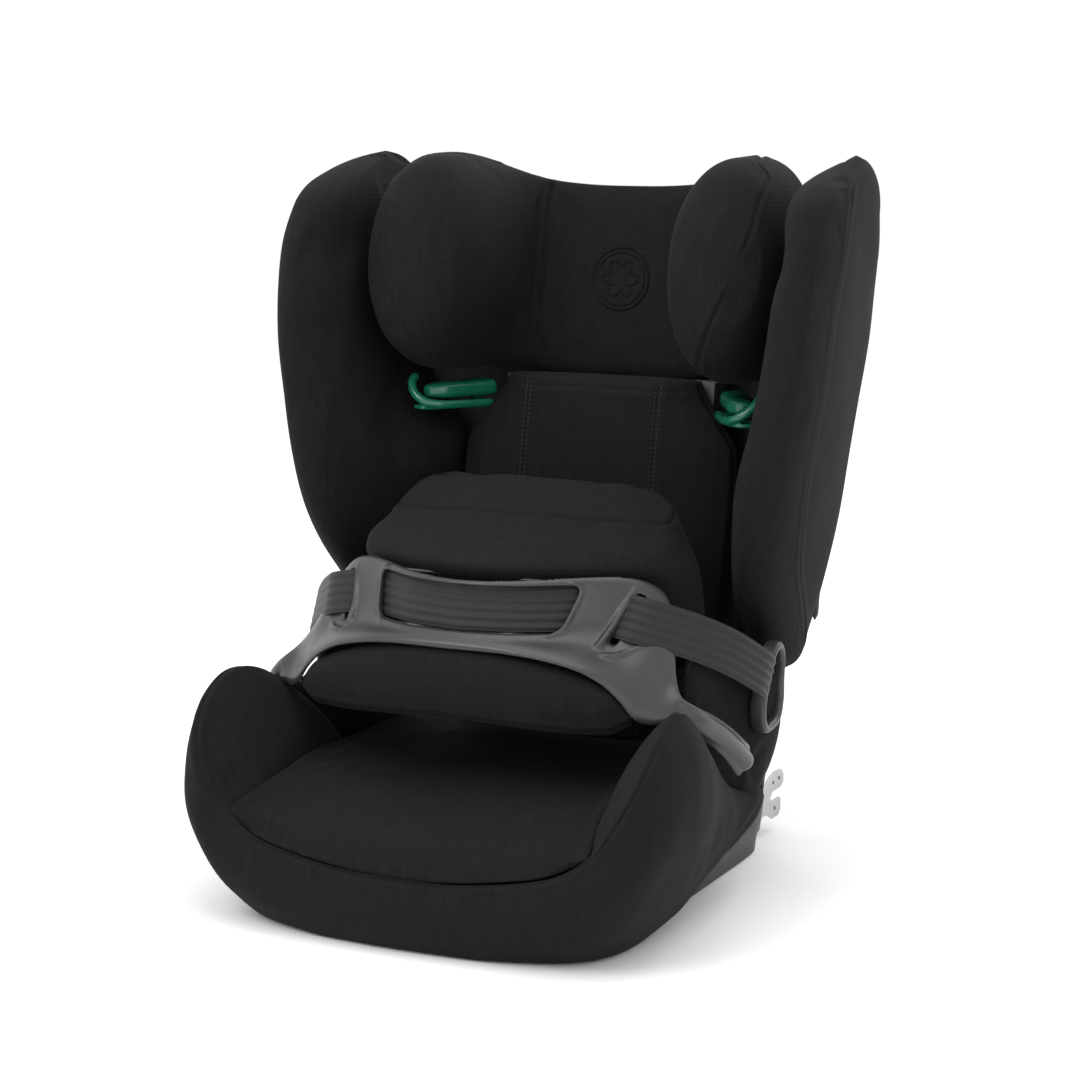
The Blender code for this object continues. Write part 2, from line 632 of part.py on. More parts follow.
def make_shield_pads():
    # Upper pad: a hood over the frame, shaped to the child's belly behind.
    stations = (
        # z, half width, front y at the middle, rear y at the middle
        (0.196, 0.140, -0.078, 0.036),
        (0.204, 0.154, -0.086, 0.045),
        (0.240, 0.153, -0.090, 0.046),
        (0.284, 0.146, -0.092, 0.045),
        (0.2955, 0.143, -0.112, 0.044),
        (0.304, 0.140, -0.096, 0.043),
        (0.318, 0.136, -0.058, 0.040),
        (0.335, 0.128, -0.030, 0.034),
        (0.348, 0.110, -0.010, 0.026),
        (0.355, 0.082, 0.003, 0.018),
    )
    rings = []
    for z, half, front, rear in stations:
        side_y = min(front + bow(half) * 0.75, rear - 0.006)
        section = [
            (0, front, z), (half * 0.55, front + (side_y - front) * 0.30, z), (half * 0.90, side_y, z),
            (half, mix(side_y, rear, 0.45), z), (half * 0.94, rear - 0.004, z), (half * 0.5, rear, z),
            (0, rear, z), (-half * 0.5, rear, z), (-half * 0.94, rear - 0.004, z),
            (-half, mix(side_y, rear, 0.45), z), (-half * 0.90, side_y, z),
            (-half * 0.55, front + (side_y - front) * 0.30, z),
        ]
        rings.append(closed_curve(section, 24))
    loft("shield_pad_upper", rings, FABRIC, poles=(0.0, 0.001))

    # Lower pad: a long pebble that fills the mouth under the frame's bar.
    rings = []
    for k in range(17):
        t = -1 + 2 * k / 16
        x = 0.150 * t
        fat = math.sqrt(max(0.0, 1 - abs(t) ** 3.2)) * 0.94 + 0.06
        centre_y = -0.148 + bow(x) * 0.80
        centre_z = 0.199 - 0.010 * t * t
        ring = []
        for j in range(12):
            angle = 2 * math.pi * j / 12
            ring.append(Vector((x, centre_y + 0.019 * fat * math.cos(angle), centre_z + 0.0235 * fat * math.sin(angle))))
        rings.append(ring)
    loft("shield_pad_lower", rings, FABRIC)

    # Foam core behind the frame that carries both pads.
    outline = []
    for k in range(9):
        x = mix(-0.085, 0.085, k / 8)
        outline.append((x, -0.126 + bow(x) * 0.85))
    outline += [(0.084, -0.0960), (-0.084, -0.0960)]
    block = prism("shield_core", outline, "Z", 0.180, 0.236, FOAM)
    scoop = loft("scoop", [
        [Vector((x, -0.146 + bow(x) * 0.80 + 0.0205 * math.cos(a), 0.199 - 0.010 * (x / 0.15) ** 2 + 0.026 * math.sin(a)))
         for a in (2 * math.pi * j / 12 for j in range(12))]
        for x in (-0.16, -0.12, -0.08, -0.04, 0.0, 0.04, 0.08, 0.12, 0.16)
    ], FOAM)
    cut(block, scoop)


FRAME_STATIONS = (
    # bottom edge x, y, z; top edge x, y, z
    ((0.000, -0.168, 0.2265), (0.000, -0.131, 0.291)),
    ((0.050, -0.161, 0.2265), (0.049, -0.124, 0.292)),
    ((0.095, -0.141, 0.2240), (0.093, -0.105, 0.293)),
    ((0.128, -0.117, 0.2130), (0.126, -0.077, 0.291)),
    ((0.148, -0.099, 0.2040), (0.148, -0.056, 0.279)),
    ((0.166, -0.098, 0.1930), (0.162, -0.072, 0.242)),
    ((0.183, -0.084, 0.1740), (0.180, -0.066, 0.208)),
    ((0.1975, -0.056, 0.1510), (0.1955, -0.036, 0.182)),
    ((0.2045, -0.026, 0.1230), (0.201, -0.006, 0.152)),
    ((0.2070, -0.013, 0.1100), (0.205, 0.001, 0.132)),
)


def make_shield_frame():
    thick = 0.0050
    rows = []
    mirrored = [(Vector((-b[0], b[1], b[2])), Vector((-t[0], t[1], t[2]))) for b, t in FRAME_STATIONS[:0:-1]]
    stations = mirrored + [(Vector(b), Vector(t)) for b, t in FRAME_STATIONS]
    for i, (bottom, top) in enumerate(stations):
        before = stations[max(i - 1, 0)]
        after = stations[min(i + 1, len(stations) - 1)]
        run = (after[0] + after[1]) - (before[0] + before[1])
        normal = run.cross(top - bottom).normalized()
        if normal.y > 0 and abs(bottom.x) < 0.1:
            normal = -normal
        if abs(bottom.x) >= 0.1 and normal.x * bottom.x < 0:
            normal = -normal
        crown = 0.0035
        row = []
        for v in (0.0, 0.12, 0.5, 0.88, 1.0):
            bulge = crown * (1 - (2 * v - 1) ** 4)
            row.append(bottom.lerp(top, v) + normal * bulge)
        for v in (1.0, 0.88, 0.5, 0.12, 0.0):
            bulge = crown * (1 - (2 * v - 1) ** 4)
            row.append(bottom.lerp(top, v) + normal * (bulge - thick))
        rows.append(row)
    frame = loft("shield_frame", rows, FRAME_PLASTIC)
    window = prism("window", rounded_rect(-0.099, 0.2420, 0.099, 0.2815, 0.010), "Y", -0.30, -0.02, FRAME_PLASTIC)
    slots = []
    for _, side in SIDES:
        slots.append(slanted_slot(side))
    cut(frame, window, *slots)


def slanted_slot(side):
    """Slot beside the post that the strap comes out of."""
    outline = [(0.1305, 0.2330), (0.1370, 0.2315), (0.1440, 0.2830), (0.1375, 0.2845)]
    return prism("slot", [(side * u, v) for u, v in outline], "Y", -0.20, -0.02, FRAME_PLASTIC)


def ribbon(name, path, width, thickness, look):
    """Flat strap: path entries are (centre, half-width direction)."""
    rows = []
    for i, (centre, wide) in enumerate(path):
        before = path[max(i - 1, 0)][0]
        after = path[min(i + 1, len(path) - 1)][0]
        run = (after - before).normalized()
        wide = (wide - run * wide.dot(run)).normalized()
        face = run.cross(wide).normalized()
        a = centre + wide * width / 2
        b = centre - wide * width / 2
        rows.append([a + face * thickness / 2, b + face * thickness / 2,
                     b - face * thickness / 2, a - face * thickness / 2])
    return loft(name, rows, look, smooth=False)


def make_straps():
    up = Vector((0, 0.45, 0.89))
    path = []
    for k in range(13):
        x = mix(-0.1260, 0.1260, k / 12)
        path.append((Vector((x, -0.1400 + bow(x) * 1.12, 0.2590)), up))
    ribbon("strap_front", path, 0.0380, STRAP_THICKNESS, WEBBING)

    for name, side in SIDES:
        points = ((0.1500, -0.0930, 0.2620), (0.1660, -0.0780, 0.2560), (0.1870, -0.0520, 0.2420),
                  (0.2050, -0.0250, 0.2240), (0.2190, -0.0020, 0.2040), (0.2265, 0.0180, 0.1910))
        wides = ((0.10, 0.42, 0.90), (0.06, 0.44, 0.90), (0.02, 0.52, 0.86), (0.0, 0.60, 0.80),
                 (0.0, 0.62, 0.78), (0.0, 0.64, 0.77))
        path = [(Vector((side * x, y, z)), Vector((side * a, b, c))) for (x, y, z), (a, b, c) in zip(points, wides)]
        ribbon("strap_" + name, path, 0.0420, STRAP_THICKNESS, WEBBING)


# ---------------------------------------------------------------- belt retractor and buckle
def make_retractor():
    """Spool under the deck that takes up the shield's belt."""
    y, z = -0.085, 0.040
    frame = box("belt_retractor_frame", (0.030, y - 0.026, 0.012), (0.096, y + 0.026, BASE_HEIGHT - TRAY_WALL - GAP),
                STEEL)
    inside = box("inside", (0.033, y - 0.03, 0.0), (0.093, y + 0.03, z + 0.028), STEEL)
    bore = rod("bore", "X", (y, z), 0.02, 0.11, 0.00408, STEEL, 32)
    cut(frame, inside, bore)
    rod("spool_axle", "X", (y, z), 0.026, 0.100, 0.0040, STEEL, 32)
    spool = rod("belt_spool", "X", (y, z), 0.034, 0.092, 0.020, BLACK_PLASTIC, 32)
    groove = rod("groove", "X", (y, z), 0.037, 0.089, 0.030, BLACK_PLASTIC, 32)
    core = rod("core", "X", (y, z), 0.03, 0.10, 0.0155, BLACK_PLASTIC, 32)
    cut(groove, core)
    cut(spool, groove)
    cut(spool, rod("bore", "X", (y, z), 0.02, 0.11, 0.0042, BLACK_PLASTIC, 32))
    set_origin(spool, (0.063, y, z))


def make_buckle():
    """Push-button buckle inside the seat's left hip, low between cushion and backrest."""
    low = BASE_HEIGHT + GAP
    housing = box("buckle_housing", (-0.200, 0.084, low), (-0.178, 0.126, 0.150), BLACK_PLASTIC, 0.002)
    well = box("well", (-0.195, 0.090, 0.130), (-0.183, 0.104, 0.170), BLACK_PLASTIC)
    mouth = box("mouth", (-0.191, 0.107, 0.112), (-0.187, 0.121, 0.170), BLACK_PLASTIC)
    cut(housing, well, mouth)
    button = box("buckle_button", (-0.1946, 0.0904, 0.1345), (-0.1834, 0.1036, 0.1525), RED_PLASTIC, 0.001)
    set_origin(button, (-0.189, 0.097, 0.1345))
    box("buckle_tongue", (-0.1905, 0.1076, 0.1130), (-0.1875, 0.1204, 0.1640), STEEL)


# ---------------------------------------------------------------- ISOFIX
def make_isofix():
    z = ISOFIX_Z
    for name, side in SIDES:
        x = side * ISOFIX_X
        rail = box("isofix_rail_" + name, (x - 0.0148, -0.060, z - 0.0185), (x + 0.0148, 0.150, z + 0.0185), STEEL)
        channel = box("channel", (x - 0.0122, -0.070, z - 0.0155), (x + 0.0122, 0.160, z + 0.0155), STEEL)
        open_side = box("open", (x - 0.0060, -0.070, z - 0.03), (x + 0.0060, 0.160, z), STEEL)
        cut(rail, channel, open_side)

        # Arm: two cheeks joined by a web, with the anchor's mouth at the rear end.
        outline = [(-0.030, z - 0.014), (0.196, z - 0.014), (0.214, z - 0.020), (0.228, z - 0.020),
                   (0.232, z - 0.014), (0.232, z - 0.0045), (0.210, z - 0.0045), (0.206, z),
                   (0.210, z + 0.0045), (0.232, z + 0.0045), (0.238, z + 0.008), (0.234, z + 0.020),
                   (0.216, z + 0.023), (0.196, z + 0.014), (-0.030, z + 0.014)]
        arm = prism("isofix_arm_" + name, outline, "X", x - 0.0115, x + 0.0115, STEEL)
        gap = box("gap", (x - 0.0088, 0.150, z - 0.04), (x + 0.0088, 0.26, z + 0.04), STEEL)
        pin_bore = rod("bore", "X", (0.186, z), x - 0.03, x + 0.03, 0.00308, STEEL, 32)
        button_slot = box("slot", (x - 0.0046, 0.1255, z - 0.0050), (x + 0.0046, 0.1445, z + 0.03), STEEL)
        cut(arm, gap, pin_bore, button_slot)
        rod("isofix_pin_" + name, "X", (0.186, z), x - 0.0112, x + 0.0112, 0.0030, STEEL, 32)

        jaw_outline = [(0.178, z + 0.010), (0.178, z - 0.010), (0.190, z - 0.0160), (0.216, z - 0.0165),
                       (0.224, z - 0.012), (0.222, z - 0.0078), (0.200, z - 0.0078), (0.195, z - 0.002),
                       (0.195, z + 0.008), (0.188, z + 0.011)]
        jaw = prism("isofix_jaw_" + name, jaw_outline, "X", x - 0.0080, x + 0.0080, STEEL)
        cut(jaw, rod("bore", "X", (0.186, z), x - 0.03, x + 0.03, 0.0032, STEEL, 32))
        set_origin(jaw, (x, 0.186, z))

        button = box("isofix_button_" + name, (x - 0.0042, 0.128, z), (x + 0.0042, 0.142, z + 0.0150),
                     GREEN_PLASTIC)
        set_origin(button, (x, 0.135, z))
    box("isofix_crossbar", (-0.1190, -0.020, z - 0.010), (0.1190, -0.008, z - 0.0085 + 0.012), STEEL)

    handle = box("isofix_handle", (-0.040, -0.221, 0.006), (0.040, -0.209, 0.018), FRAME_PLASTIC, 0.002)
    set_origin(handle, (0, -0.215, 0.012))


def main():
    clear_scene()
    make_base()
    make_seat_pads()
    make_hips()
    make_back_pads()
    make_back_shell()
    make_back_structure()
    make_pivot()
    make_headrest()
    make_shield_pads()
    make_shield_frame()
    make_straps()
    make_retractor()
    make_buckle()
    make_isofix()


main()
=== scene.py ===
import json
import math

import bmesh
import bpy
import numpy as np
from mathutils import Matrix, Vector


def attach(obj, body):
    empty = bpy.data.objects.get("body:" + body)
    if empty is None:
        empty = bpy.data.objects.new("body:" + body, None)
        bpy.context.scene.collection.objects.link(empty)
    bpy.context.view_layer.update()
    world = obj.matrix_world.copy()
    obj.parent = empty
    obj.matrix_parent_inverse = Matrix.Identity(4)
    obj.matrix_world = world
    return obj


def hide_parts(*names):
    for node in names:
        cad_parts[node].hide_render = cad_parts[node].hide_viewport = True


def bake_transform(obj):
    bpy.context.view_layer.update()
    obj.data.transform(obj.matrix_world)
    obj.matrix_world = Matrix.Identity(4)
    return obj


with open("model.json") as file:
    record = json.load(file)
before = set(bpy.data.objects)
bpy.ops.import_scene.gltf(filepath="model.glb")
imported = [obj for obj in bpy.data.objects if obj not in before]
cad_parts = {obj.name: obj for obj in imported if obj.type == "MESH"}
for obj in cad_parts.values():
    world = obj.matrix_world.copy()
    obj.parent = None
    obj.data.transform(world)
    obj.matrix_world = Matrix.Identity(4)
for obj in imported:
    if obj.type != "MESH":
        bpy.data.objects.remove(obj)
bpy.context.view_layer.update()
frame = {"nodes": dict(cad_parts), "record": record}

rake = math.tan(math.radians(9))   # the backrest leans this much per metre of height
sides = (("left", -1), ("right", 1))


# Curves and lofts

def withNeighbours(points, closed):
    # the points with one more before the first and after the last, as the spline needs
    p = np.array(points, float)
    if closed:
        return np.vstack([p[-1:], p, p[:2]])
    return np.vstack([2 * p[0] - p[1], p, 2 * p[-1] - p[-2]])


def splineSpan(p, k, steps):
    # smooth stretch from point k + 1 to point k + 2, without its last point
    a, b, c, d = p[k:k + 4]
    tb = max(np.linalg.norm(b - a), 1e-7) ** 0.5
    tc = tb + max(np.linalg.norm(c - b), 1e-7) ** 0.5
    td = tc + max(np.linalg.norm(d - c), 1e-7) ** 0.5
    t = np.linspace(tb, tc, steps, endpoint=False)[:, None]
    ab = (tb - t) / tb * a + t / tb * b
    bc = (tc - t) / (tc - tb) * b + (t - tb) / (tc - tb) * c
    cd = (td - t) / (td - tc) * c + (t - tc) / (td - tc) * d
    abc = (tc - t) / tc * ab + t / tc * bc
    bcd = (td - t) / (td - tb) * bc + (t - tb) / (td - tb) * cd
    return (tc - t) / (tc - tb) * abc + (t - tb) / (tc - tb) * bcd


def stretchBy(points, counts, closed=False):
    # smooth curve through the points, with its own number of steps in each span
    p = withNeighbours(points, closed)
    out = [splineSpan(p, k, steps) for k, steps in enumerate(counts)]
    if not closed:
        out.append(p[-2:-1])
    return np.vstack(out)


def evenly(fine, count):
    # a curve's points again, at even steps of its length
    far = np.concatenate([[0], np.cumsum(np.linalg.norm(np.diff(fine, axis=0), axis=1))])
    at = np.linspace(0, far[-1], count)
    return np.stack([np.interp(at, far, fine[:, k]) for k in range(3)], axis=1)


def curveThrough(points, count, closed=False):
    # smooth curve through the points, with evenly spaced points of its own
    spans = len(points) if closed else len(points) - 1
    fine = stretchBy(points, [max(8, int(4 * count / spans))] * spans, closed)
    if closed:
        fine = np.vstack([fine, np.array(points[:1], float)])
        return evenly(fine, count + 1)[:-1]
    return evenly(fine, count)


def squarer(value, power):
    # bends a sine or cosine towards a squarer or a rounder section, and keeps its sign
    return math.copysign(abs(value) ** power, value)


def turns(count):
    # cosine and sine at even steps of a full turn
    angles = [2 * math.pi * k / count for k in range(count)]
    return [(math.cos(angle), math.sin(angle)) for angle in angles]


def bothSides(half):
    # closes a half outline, given from the middle to the middle, with its mirror image
    return half + [(-x, y) for x, y in half[-2:0:-1]]


def spanSteps(rings, step, closed):
    # how many steps each span needs for a mesh of about this size, by the longest of the spans
    rings = np.array(rings, float)
    nxt = np.roll(rings, -1, axis=1) if closed else rings[:, 1:]
    cur = rings if closed else rings[:, :-1]
    longest = np.linalg.norm(nxt - cur, axis=2).max(axis=0)
    return [max(1, int(round(x / step))) for x in longest]


def newObject(name, data):
    obj = bpy.data.objects.new(name, data)
    bpy.context.scene.collection.objects.link(obj)
    return obj


def meshObject(name, bm):
    mesh = bpy.data.meshes.new(name)
    bm.to_mesh(mesh)
    bm.free()
    return newObject(name, mesh)


def gridMesh(name, grid, capped=True, poleOut=(0.0, 0.0)):
    # quads over a grid of points (rows along the piece, rings round it), with a UV map in metres
    rows, cols = grid.shape[:2]
    verts = [tuple(p) for p in grid.reshape(-1, 3)]
    faces = []
    uvs = []
    ringEdge = np.linalg.norm(np.roll(grid, -1, axis=1) - grid, axis=2)
    across = np.concatenate([np.zeros((rows, 1)), np.cumsum(ringEdge, axis=1)], axis=1).mean(axis=0)
    rowEdge = np.linalg.norm(np.diff(grid, axis=0), axis=2).mean(axis=1)
    along = np.concatenate([[0], np.cumsum(rowEdge)])
    for r in range(rows - 1):
        for c in range(cols):
            d = (c + 1) % cols
            faces.append((r * cols + c, r * cols + d, (r + 1) * cols + d, (r + 1) * cols + c))
            uvs.append(((across[c], along[r]), (across[c + 1], along[r]),
                        (across[c + 1], along[r + 1]), (across[c], along[r + 1])))
    ends = ((0, 1, poleOut[0]), (rows - 1, rows - 2, poleOut[1])) if capped else ()
    for row, inner, pole in ends:
        centre = grid[row].mean(axis=0)
        away = centre - grid[inner].mean(axis=0)
        centre = centre + away / max(np.linalg.norm(away), 1e-9) * pole
        tip = len(verts)
        verts.append(tuple(centre))
        for c in range(cols):
            pair = (row * cols + c, row * cols + (c + 1) % cols)
            faces.append((*(pair[::-1] if row == 0 else pair), tip))
            u, w = across[c], across[c + 1]
            uvs.append(((w, along[row]), (u, along[row]), ((u + w) / 2, along[row])))
    mesh = bpy.data.meshes.new(name)
    mesh.from_pydata(verts, [], faces)
    layer = mesh.uv_layers.new(name="cloth")
    layer.data.foreach_set("uv", [xy for face in uvs for pair in face for xy in pair])
    mesh.update()
    return outward(newObject(name, mesh))


def outward(obj):
    # turns all faces out
    bm = bmesh.new()
    bm.from_mesh(obj.data)
    bmesh.ops.recalc_face_normals(bm, faces=bm.faces)
    if bm.calc_volume(signed=True) < 0:
        bmesh.ops.reverse_faces(bm, faces=bm.faces)
    bm.to_mesh(obj.data)
    bm.free()
    return obj


def loft(name, rings, step, poleOut=(0.0, 0.0)):
    # closed skin through control rings, with quads of about the given size both ways
    rings = np.array(rings, float)
    ringSteps = spanSteps(rings, step, True)
    fine = np.array([stretchBy(ring, ringSteps, True) for ring in rings])
    return gridMesh(name, filledRows(fine, rings, step), poleOut=poleOut)


def filledRows(fine, rings, step):
    # adds rows between the rings, as many as the control rings' spacing asks for
    rowSteps = spanSteps(np.swapaxes(rings, 0, 1), step, False)
    columns = [stretchBy(fine[:, c], rowSteps) for c in range(fine.shape[1])]
    return np.swapaxes(np.array(columns), 0, 1)


def coords(obj):
    co = np.empty(len(obj.data.vertices) * 3, np.float32)
    obj.data.vertices.foreach_get("co", co)
    return co.reshape(-1, 3).astype(float)


def normals(obj):
    no = np.empty(len(obj.data.vertices) * 3, np.float32)
    obj.data.vertex_normals.foreach_get("vector", no)
    return no.reshape(-1, 3).astype(float)


def place(obj, co):
    obj.data.vertices.foreach_set("co", co.astype(np.float32).ravel())
    obj.data.update()


def pushOut(obj, amount):
    # moves every point along its normal
    place(obj, coords(obj) + normals(obj) * amount[:, None])


def applied(obj):
    # bakes the modifiers that are on the object into its mesh
    bpy.context.view_layer.update()
    graph = bpy.context.evaluated_depsgraph_get()
    old = obj.data
    obj.data = bpy.data.meshes.new_from_object(obj.evaluated_get(graph), preserve_all_data_layers=True,
                                               depsgraph=graph)
    obj.modifiers.clear()
    if old.users == 0:
        bpy.data.meshes.remove(old)
    return obj


def subdivided(obj):
    modifier = obj.modifiers.new("finer", "SUBSURF")
    modifier.levels = 1
    modifier.render_levels = 1
    modifier.boundary_smooth = "PRESERVE_CORNERS"
    modifier.use_limit_surface = False
    return applied(obj)


def bevelled(obj, width, angle=30):
    modifier = obj.modifiers.new("edge", "BEVEL")
    modifier.width = width
    modifier.segments = 2
    modifier.limit_method = "ANGLE"
    modifier.angle_limit = math.radians(angle)
    return applied(obj)


def smoothShade(obj, angle=None):
    obj.data.shade_smooth()
    if angle:
        obj.data.set_sharp_from_angle(angle=math.radians(angle))
    return obj


def noiseField(co, size, seed):
    # smooth random field from a few sine waves in random directions, about -1 to 1
    rng = np.random.default_rng(seed)
    total = np.zeros(len(co))
    for _ in range(10):
        direction = rng.normal(size=3)
        direction *= 2 * math.pi / size / np.linalg.norm(direction) * rng.uniform(0.6, 1.5)
        total += np.sin(co @ direction + rng.uniform(0, 2 * math.pi))
    return total / 3.2


def nearSeam(co, seam):
    # distance from every point to a seam line, exact within 15 mm of it
    length = sum(np.linalg.norm(np.diff(np.array(seam, float), axis=0), axis=1))
    line = curveThrough(seam, max(40, int(length / 0.0012)))
    far = np.full(len(co), 1.0)
    low, high = line.min(axis=0) - 0.016, line.max(axis=0) + 0.016
    chosen = np.nonzero(np.all((co > low) & (co < high), axis=1))[0]
    coarse = line[::8]
    for part in np.array_split(chosen, max(1, len(chosen) // 20000)):
        near = np.linalg.norm(co[part][:, None] - coarse[None], axis=2).min(axis=1) < 0.020
        part = part[near]
        for piece in np.array_split(part, max(1, len(part) // 3000)):
            if len(piece):
                far[piece] = np.linalg.norm(co[piece][:, None] - line[None], axis=2).min(axis=1)
    return far


def sewSeam(obj, seam, depth, width, puff):
    # presses a seam into the cover, with a soft shoulder on each side of it
    far = nearSeam(coords(obj), seam)
    shoulder = puff * np.exp(-((far - 3.2 * width) / (2.2 * width)) ** 2)
    pushOut(obj, shoulder - depth * np.exp(-(far / width) ** 2))


def puffed(obj, cap, held, pressure=4.0, frames=20):
    # cloth under light pressure: held points stay put, and no point moves more than the cap
    before = coords(obj)
    group = obj.vertex_groups.new(name="held")
    for k, weight in enumerate(held):
        if weight > 0.01:
            group.add([k], float(weight), "REPLACE")
    modifier = obj.modifiers.new("cloth", "CLOTH")
    cloth = modifier.settings
    cloth.quality = 5
    cloth.mass = 0.3
    cloth.tension_stiffness = 25
    cloth.compression_stiffness = 25
    cloth.shear_stiffness = 12
    cloth.bending_stiffness = 2.0
    cloth.use_pressure = True
    cloth.uniform_pressure_force = pressure
    cloth.effector_weights.gravity = 0
    cloth.vertex_group_mass = "held"
    modifier.collision_settings.use_collision = False
    modifier.point_cache.frame_start = 1
    modifier.point_cache.frame_end = frames
    scene = bpy.context.scene
    for number in range(1, frames + 1):
        scene.frame_set(number)
    graph = bpy.context.evaluated_depsgraph_get()
    moved = obj.evaluated_get(graph)
    after = np.empty(len(before) * 3, np.float32)
    moved.data.vertices.foreach_get("co", after)
    after = after.reshape(-1, 3).astype(float)
    obj.modifiers.clear()
    obj.vertex_groups.clear()
    scene.frame_set(1)
    step = after - before
    length = np.linalg.norm(step, axis=1)
    length[length < 1e-9] = 1e-9
    step *= (cap * np.tanh(length / cap) / length)[:, None]
    place(obj, before + step)
    return obj


def holdNear(obj, lines, reach, resting):
    # weights that pin a piece along its seams, and where it rests on its shell
    co = coords(obj)
    held = np.zeros(len(co))
    for line in lines:
        far = nearSeam(co, line)
        held = np.maximum(held, np.clip(1.4 - far / reach, 0, 1))
    return np.maximum(held, np.clip(resting(co), 0, 1))


# Materials

def newMaterial(name, colour, roughness, metallic=0.0):
    mat = bpy.data.materials.new(name)
    mat.use_nodes = True
    shader = mat.node_tree.nodes["Principled BSDF"]
    shader.inputs["Base Color"].default_value = (*colour, 1)
    shader.inputs["Roughness"].default_value = roughness
    shader.inputs["Metallic"].default_value = metallic
    mat.diffuse_color = (*colour, 1)
    return mat, mat.node_tree, shader


def addNode(tree, kind, **values):
    node = tree.nodes.new(kind)
    for key, value in values.items():
        if key in node.inputs:
            node.inputs[key].default_value = value
        else:
            setattr(node, key, value)
    return node


def noiseNode(tree, source, scale, detail=2.0, roughness=0.5, stretch=(1, 1, 1)):
    mapping = addNode(tree, "ShaderNodeMapping")
    mapping.inputs["Scale"].default_value = stretch
    tree.links.new(source, mapping.inputs["Vector"])
    noise = addNode(tree, "ShaderNodeTexNoise")
    noise.inputs["Scale"].default_value = scale
    noise.inputs["Detail"].default_value = detail
    noise.inputs["Roughness"].default_value = roughness
    tree.links.new(mapping.outputs["Vector"], noise.inputs["Vector"])
    return noise.outputs["Fac"]


def rampNode(tree, source, low, high):
    ramp = addNode(tree, "ShaderNodeValToRGB")
    (p0, c0), (p1, c1) = low, high
    ramp.color_ramp.elements[0].position = p0
    ramp.color_ramp.elements[0].color = (*c0, 1) if isinstance(c0, tuple) else (c0, c0, c0, 1)
    ramp.color_ramp.elements[1].position = p1
    ramp.color_ramp.elements[1].color = (*c1, 1) if isinstance(c1, tuple) else (c1, c1, c1, 1)
    tree.links.new(source, ramp.inputs["Fac"])
    return ramp.outputs["Color"]


def mathNode(tree, operation, a, b):
    node = addNode(tree, "ShaderNodeMath", operation=operation)
    for socket, value in zip(node.inputs, (a, b)):
        if isinstance(value, (int, float)):
            socket.default_value = value
        else:
            tree.links.new(value, socket)
    return node.outputs["Value"]


def bumpNode(tree, shader, height, strength, distance):
    bump = addNode(tree, "ShaderNodeBump")
    bump.inputs["Strength"].default_value = strength
    bump.inputs["Distance"].default_value = distance
    tree.links.new(height, bump.inputs["Height"])
    tree.links.new(bump.outputs["Normal"], shader.inputs["Normal"])
    return bump


coverFabric = {
    "colour": (0.0062, 0.0062, 0.0065),
    "light": (0.0100, 0.0100, 0.0104),
    "thread": 1500.0,      # threads per metre each way
    "sheen": 0.03,
}


def makeCoverFabric():
    # black woven cover: fine plain weave, faint streaks along the warp, soft sheen
    mat, tree, shader = newMaterial("black_woven_cover", coverFabric["colour"], 0.86)
    spot = addNode(tree, "ShaderNodeTexCoord").outputs["Object"]
    uv = addNode(tree, "ShaderNodeUVMap", uv_map="cloth").outputs["UV"]
    warp = addNode(tree, "ShaderNodeTexWave", wave_type="BANDS", bands_direction="X")
    weft = addNode(tree, "ShaderNodeTexWave", wave_type="BANDS", bands_direction="Y")
    for wave in (warp, weft):
        wave.inputs["Scale"].default_value = coverFabric["thread"] / 20
        wave.inputs["Distortion"].default_value = 1.2
        wave.inputs["Detail"].default_value = 1.0
        wave.inputs["Detail Scale"].default_value = 1.0
        tree.links.new(uv, wave.inputs["Vector"])
    weave = mathNode(tree, "MULTIPLY", warp.outputs["Fac"], weft.outputs["Fac"])
    streak = noiseNode(tree, uv, 240.0, 3.0, 0.6, (1.0, 0.10, 1.0))
    cross = noiseNode(tree, uv, 240.0, 3.0, 0.6, (0.16, 1.0, 1.0))
    patch = noiseNode(tree, spot, 9.0, 2.0, 0.5)
    shade = mathNode(tree, "ADD", mathNode(tree, "MULTIPLY", streak, 0.55),
                     mathNode(tree, "MULTIPLY", cross, 0.25))
    shade = mathNode(tree, "ADD", shade, mathNode(tree, "MULTIPLY", patch, 0.20))
    colour = rampNode(tree, shade, (0.36, coverFabric["colour"]), (0.64, coverFabric["light"]))
    tree.links.new(colour, shader.inputs["Base Color"])
    rough = rampNode(tree, patch, (0.3, 0.80), (0.7, 0.92))
    tree.links.new(rough, shader.inputs["Roughness"])
    height = mathNode(tree, "ADD", weave, mathNode(tree, "MULTIPLY", streak, 0.8))
    bumpNode(tree, shader, height, 0.55, 0.00035)
    shader.inputs["Sheen Weight"].default_value = coverFabric["sheen"]
    shader.inputs["Sheen Roughness"].default_value = 0.45
    shader.inputs["Sheen Tint"].default_value = (0.55, 0.56, 0.60, 1)
    shader.inputs["Specular IOR Level"].default_value = 0.13
    return mat


def makeThread():
    # sewing thread, slightly lighter than the cover
    mat, tree, shader = newMaterial("black_thread", (0.028, 0.028, 0.029), 0.6)
    spot = addNode(tree, "ShaderNodeTexCoord").outputs["Object"]
    twist = noiseNode(tree, spot, 1800.0, 1.0)
    tree.links.new(rampNode(tree, twist, (0.35, 0.018), (0.65, 0.040)), shader.inputs["Base Color"])
    bumpNode(tree, shader, twist, 0.4, 0.0002)
    return mat


webbing = {
    "width": 0.040,
    "thick": 0.0019,
    "ribs": 5,
    "ribHeight": 0.00065,
    "colour": (0.011, 0.011, 0.0115),
    "light": (0.025, 0.025, 0.026),
}


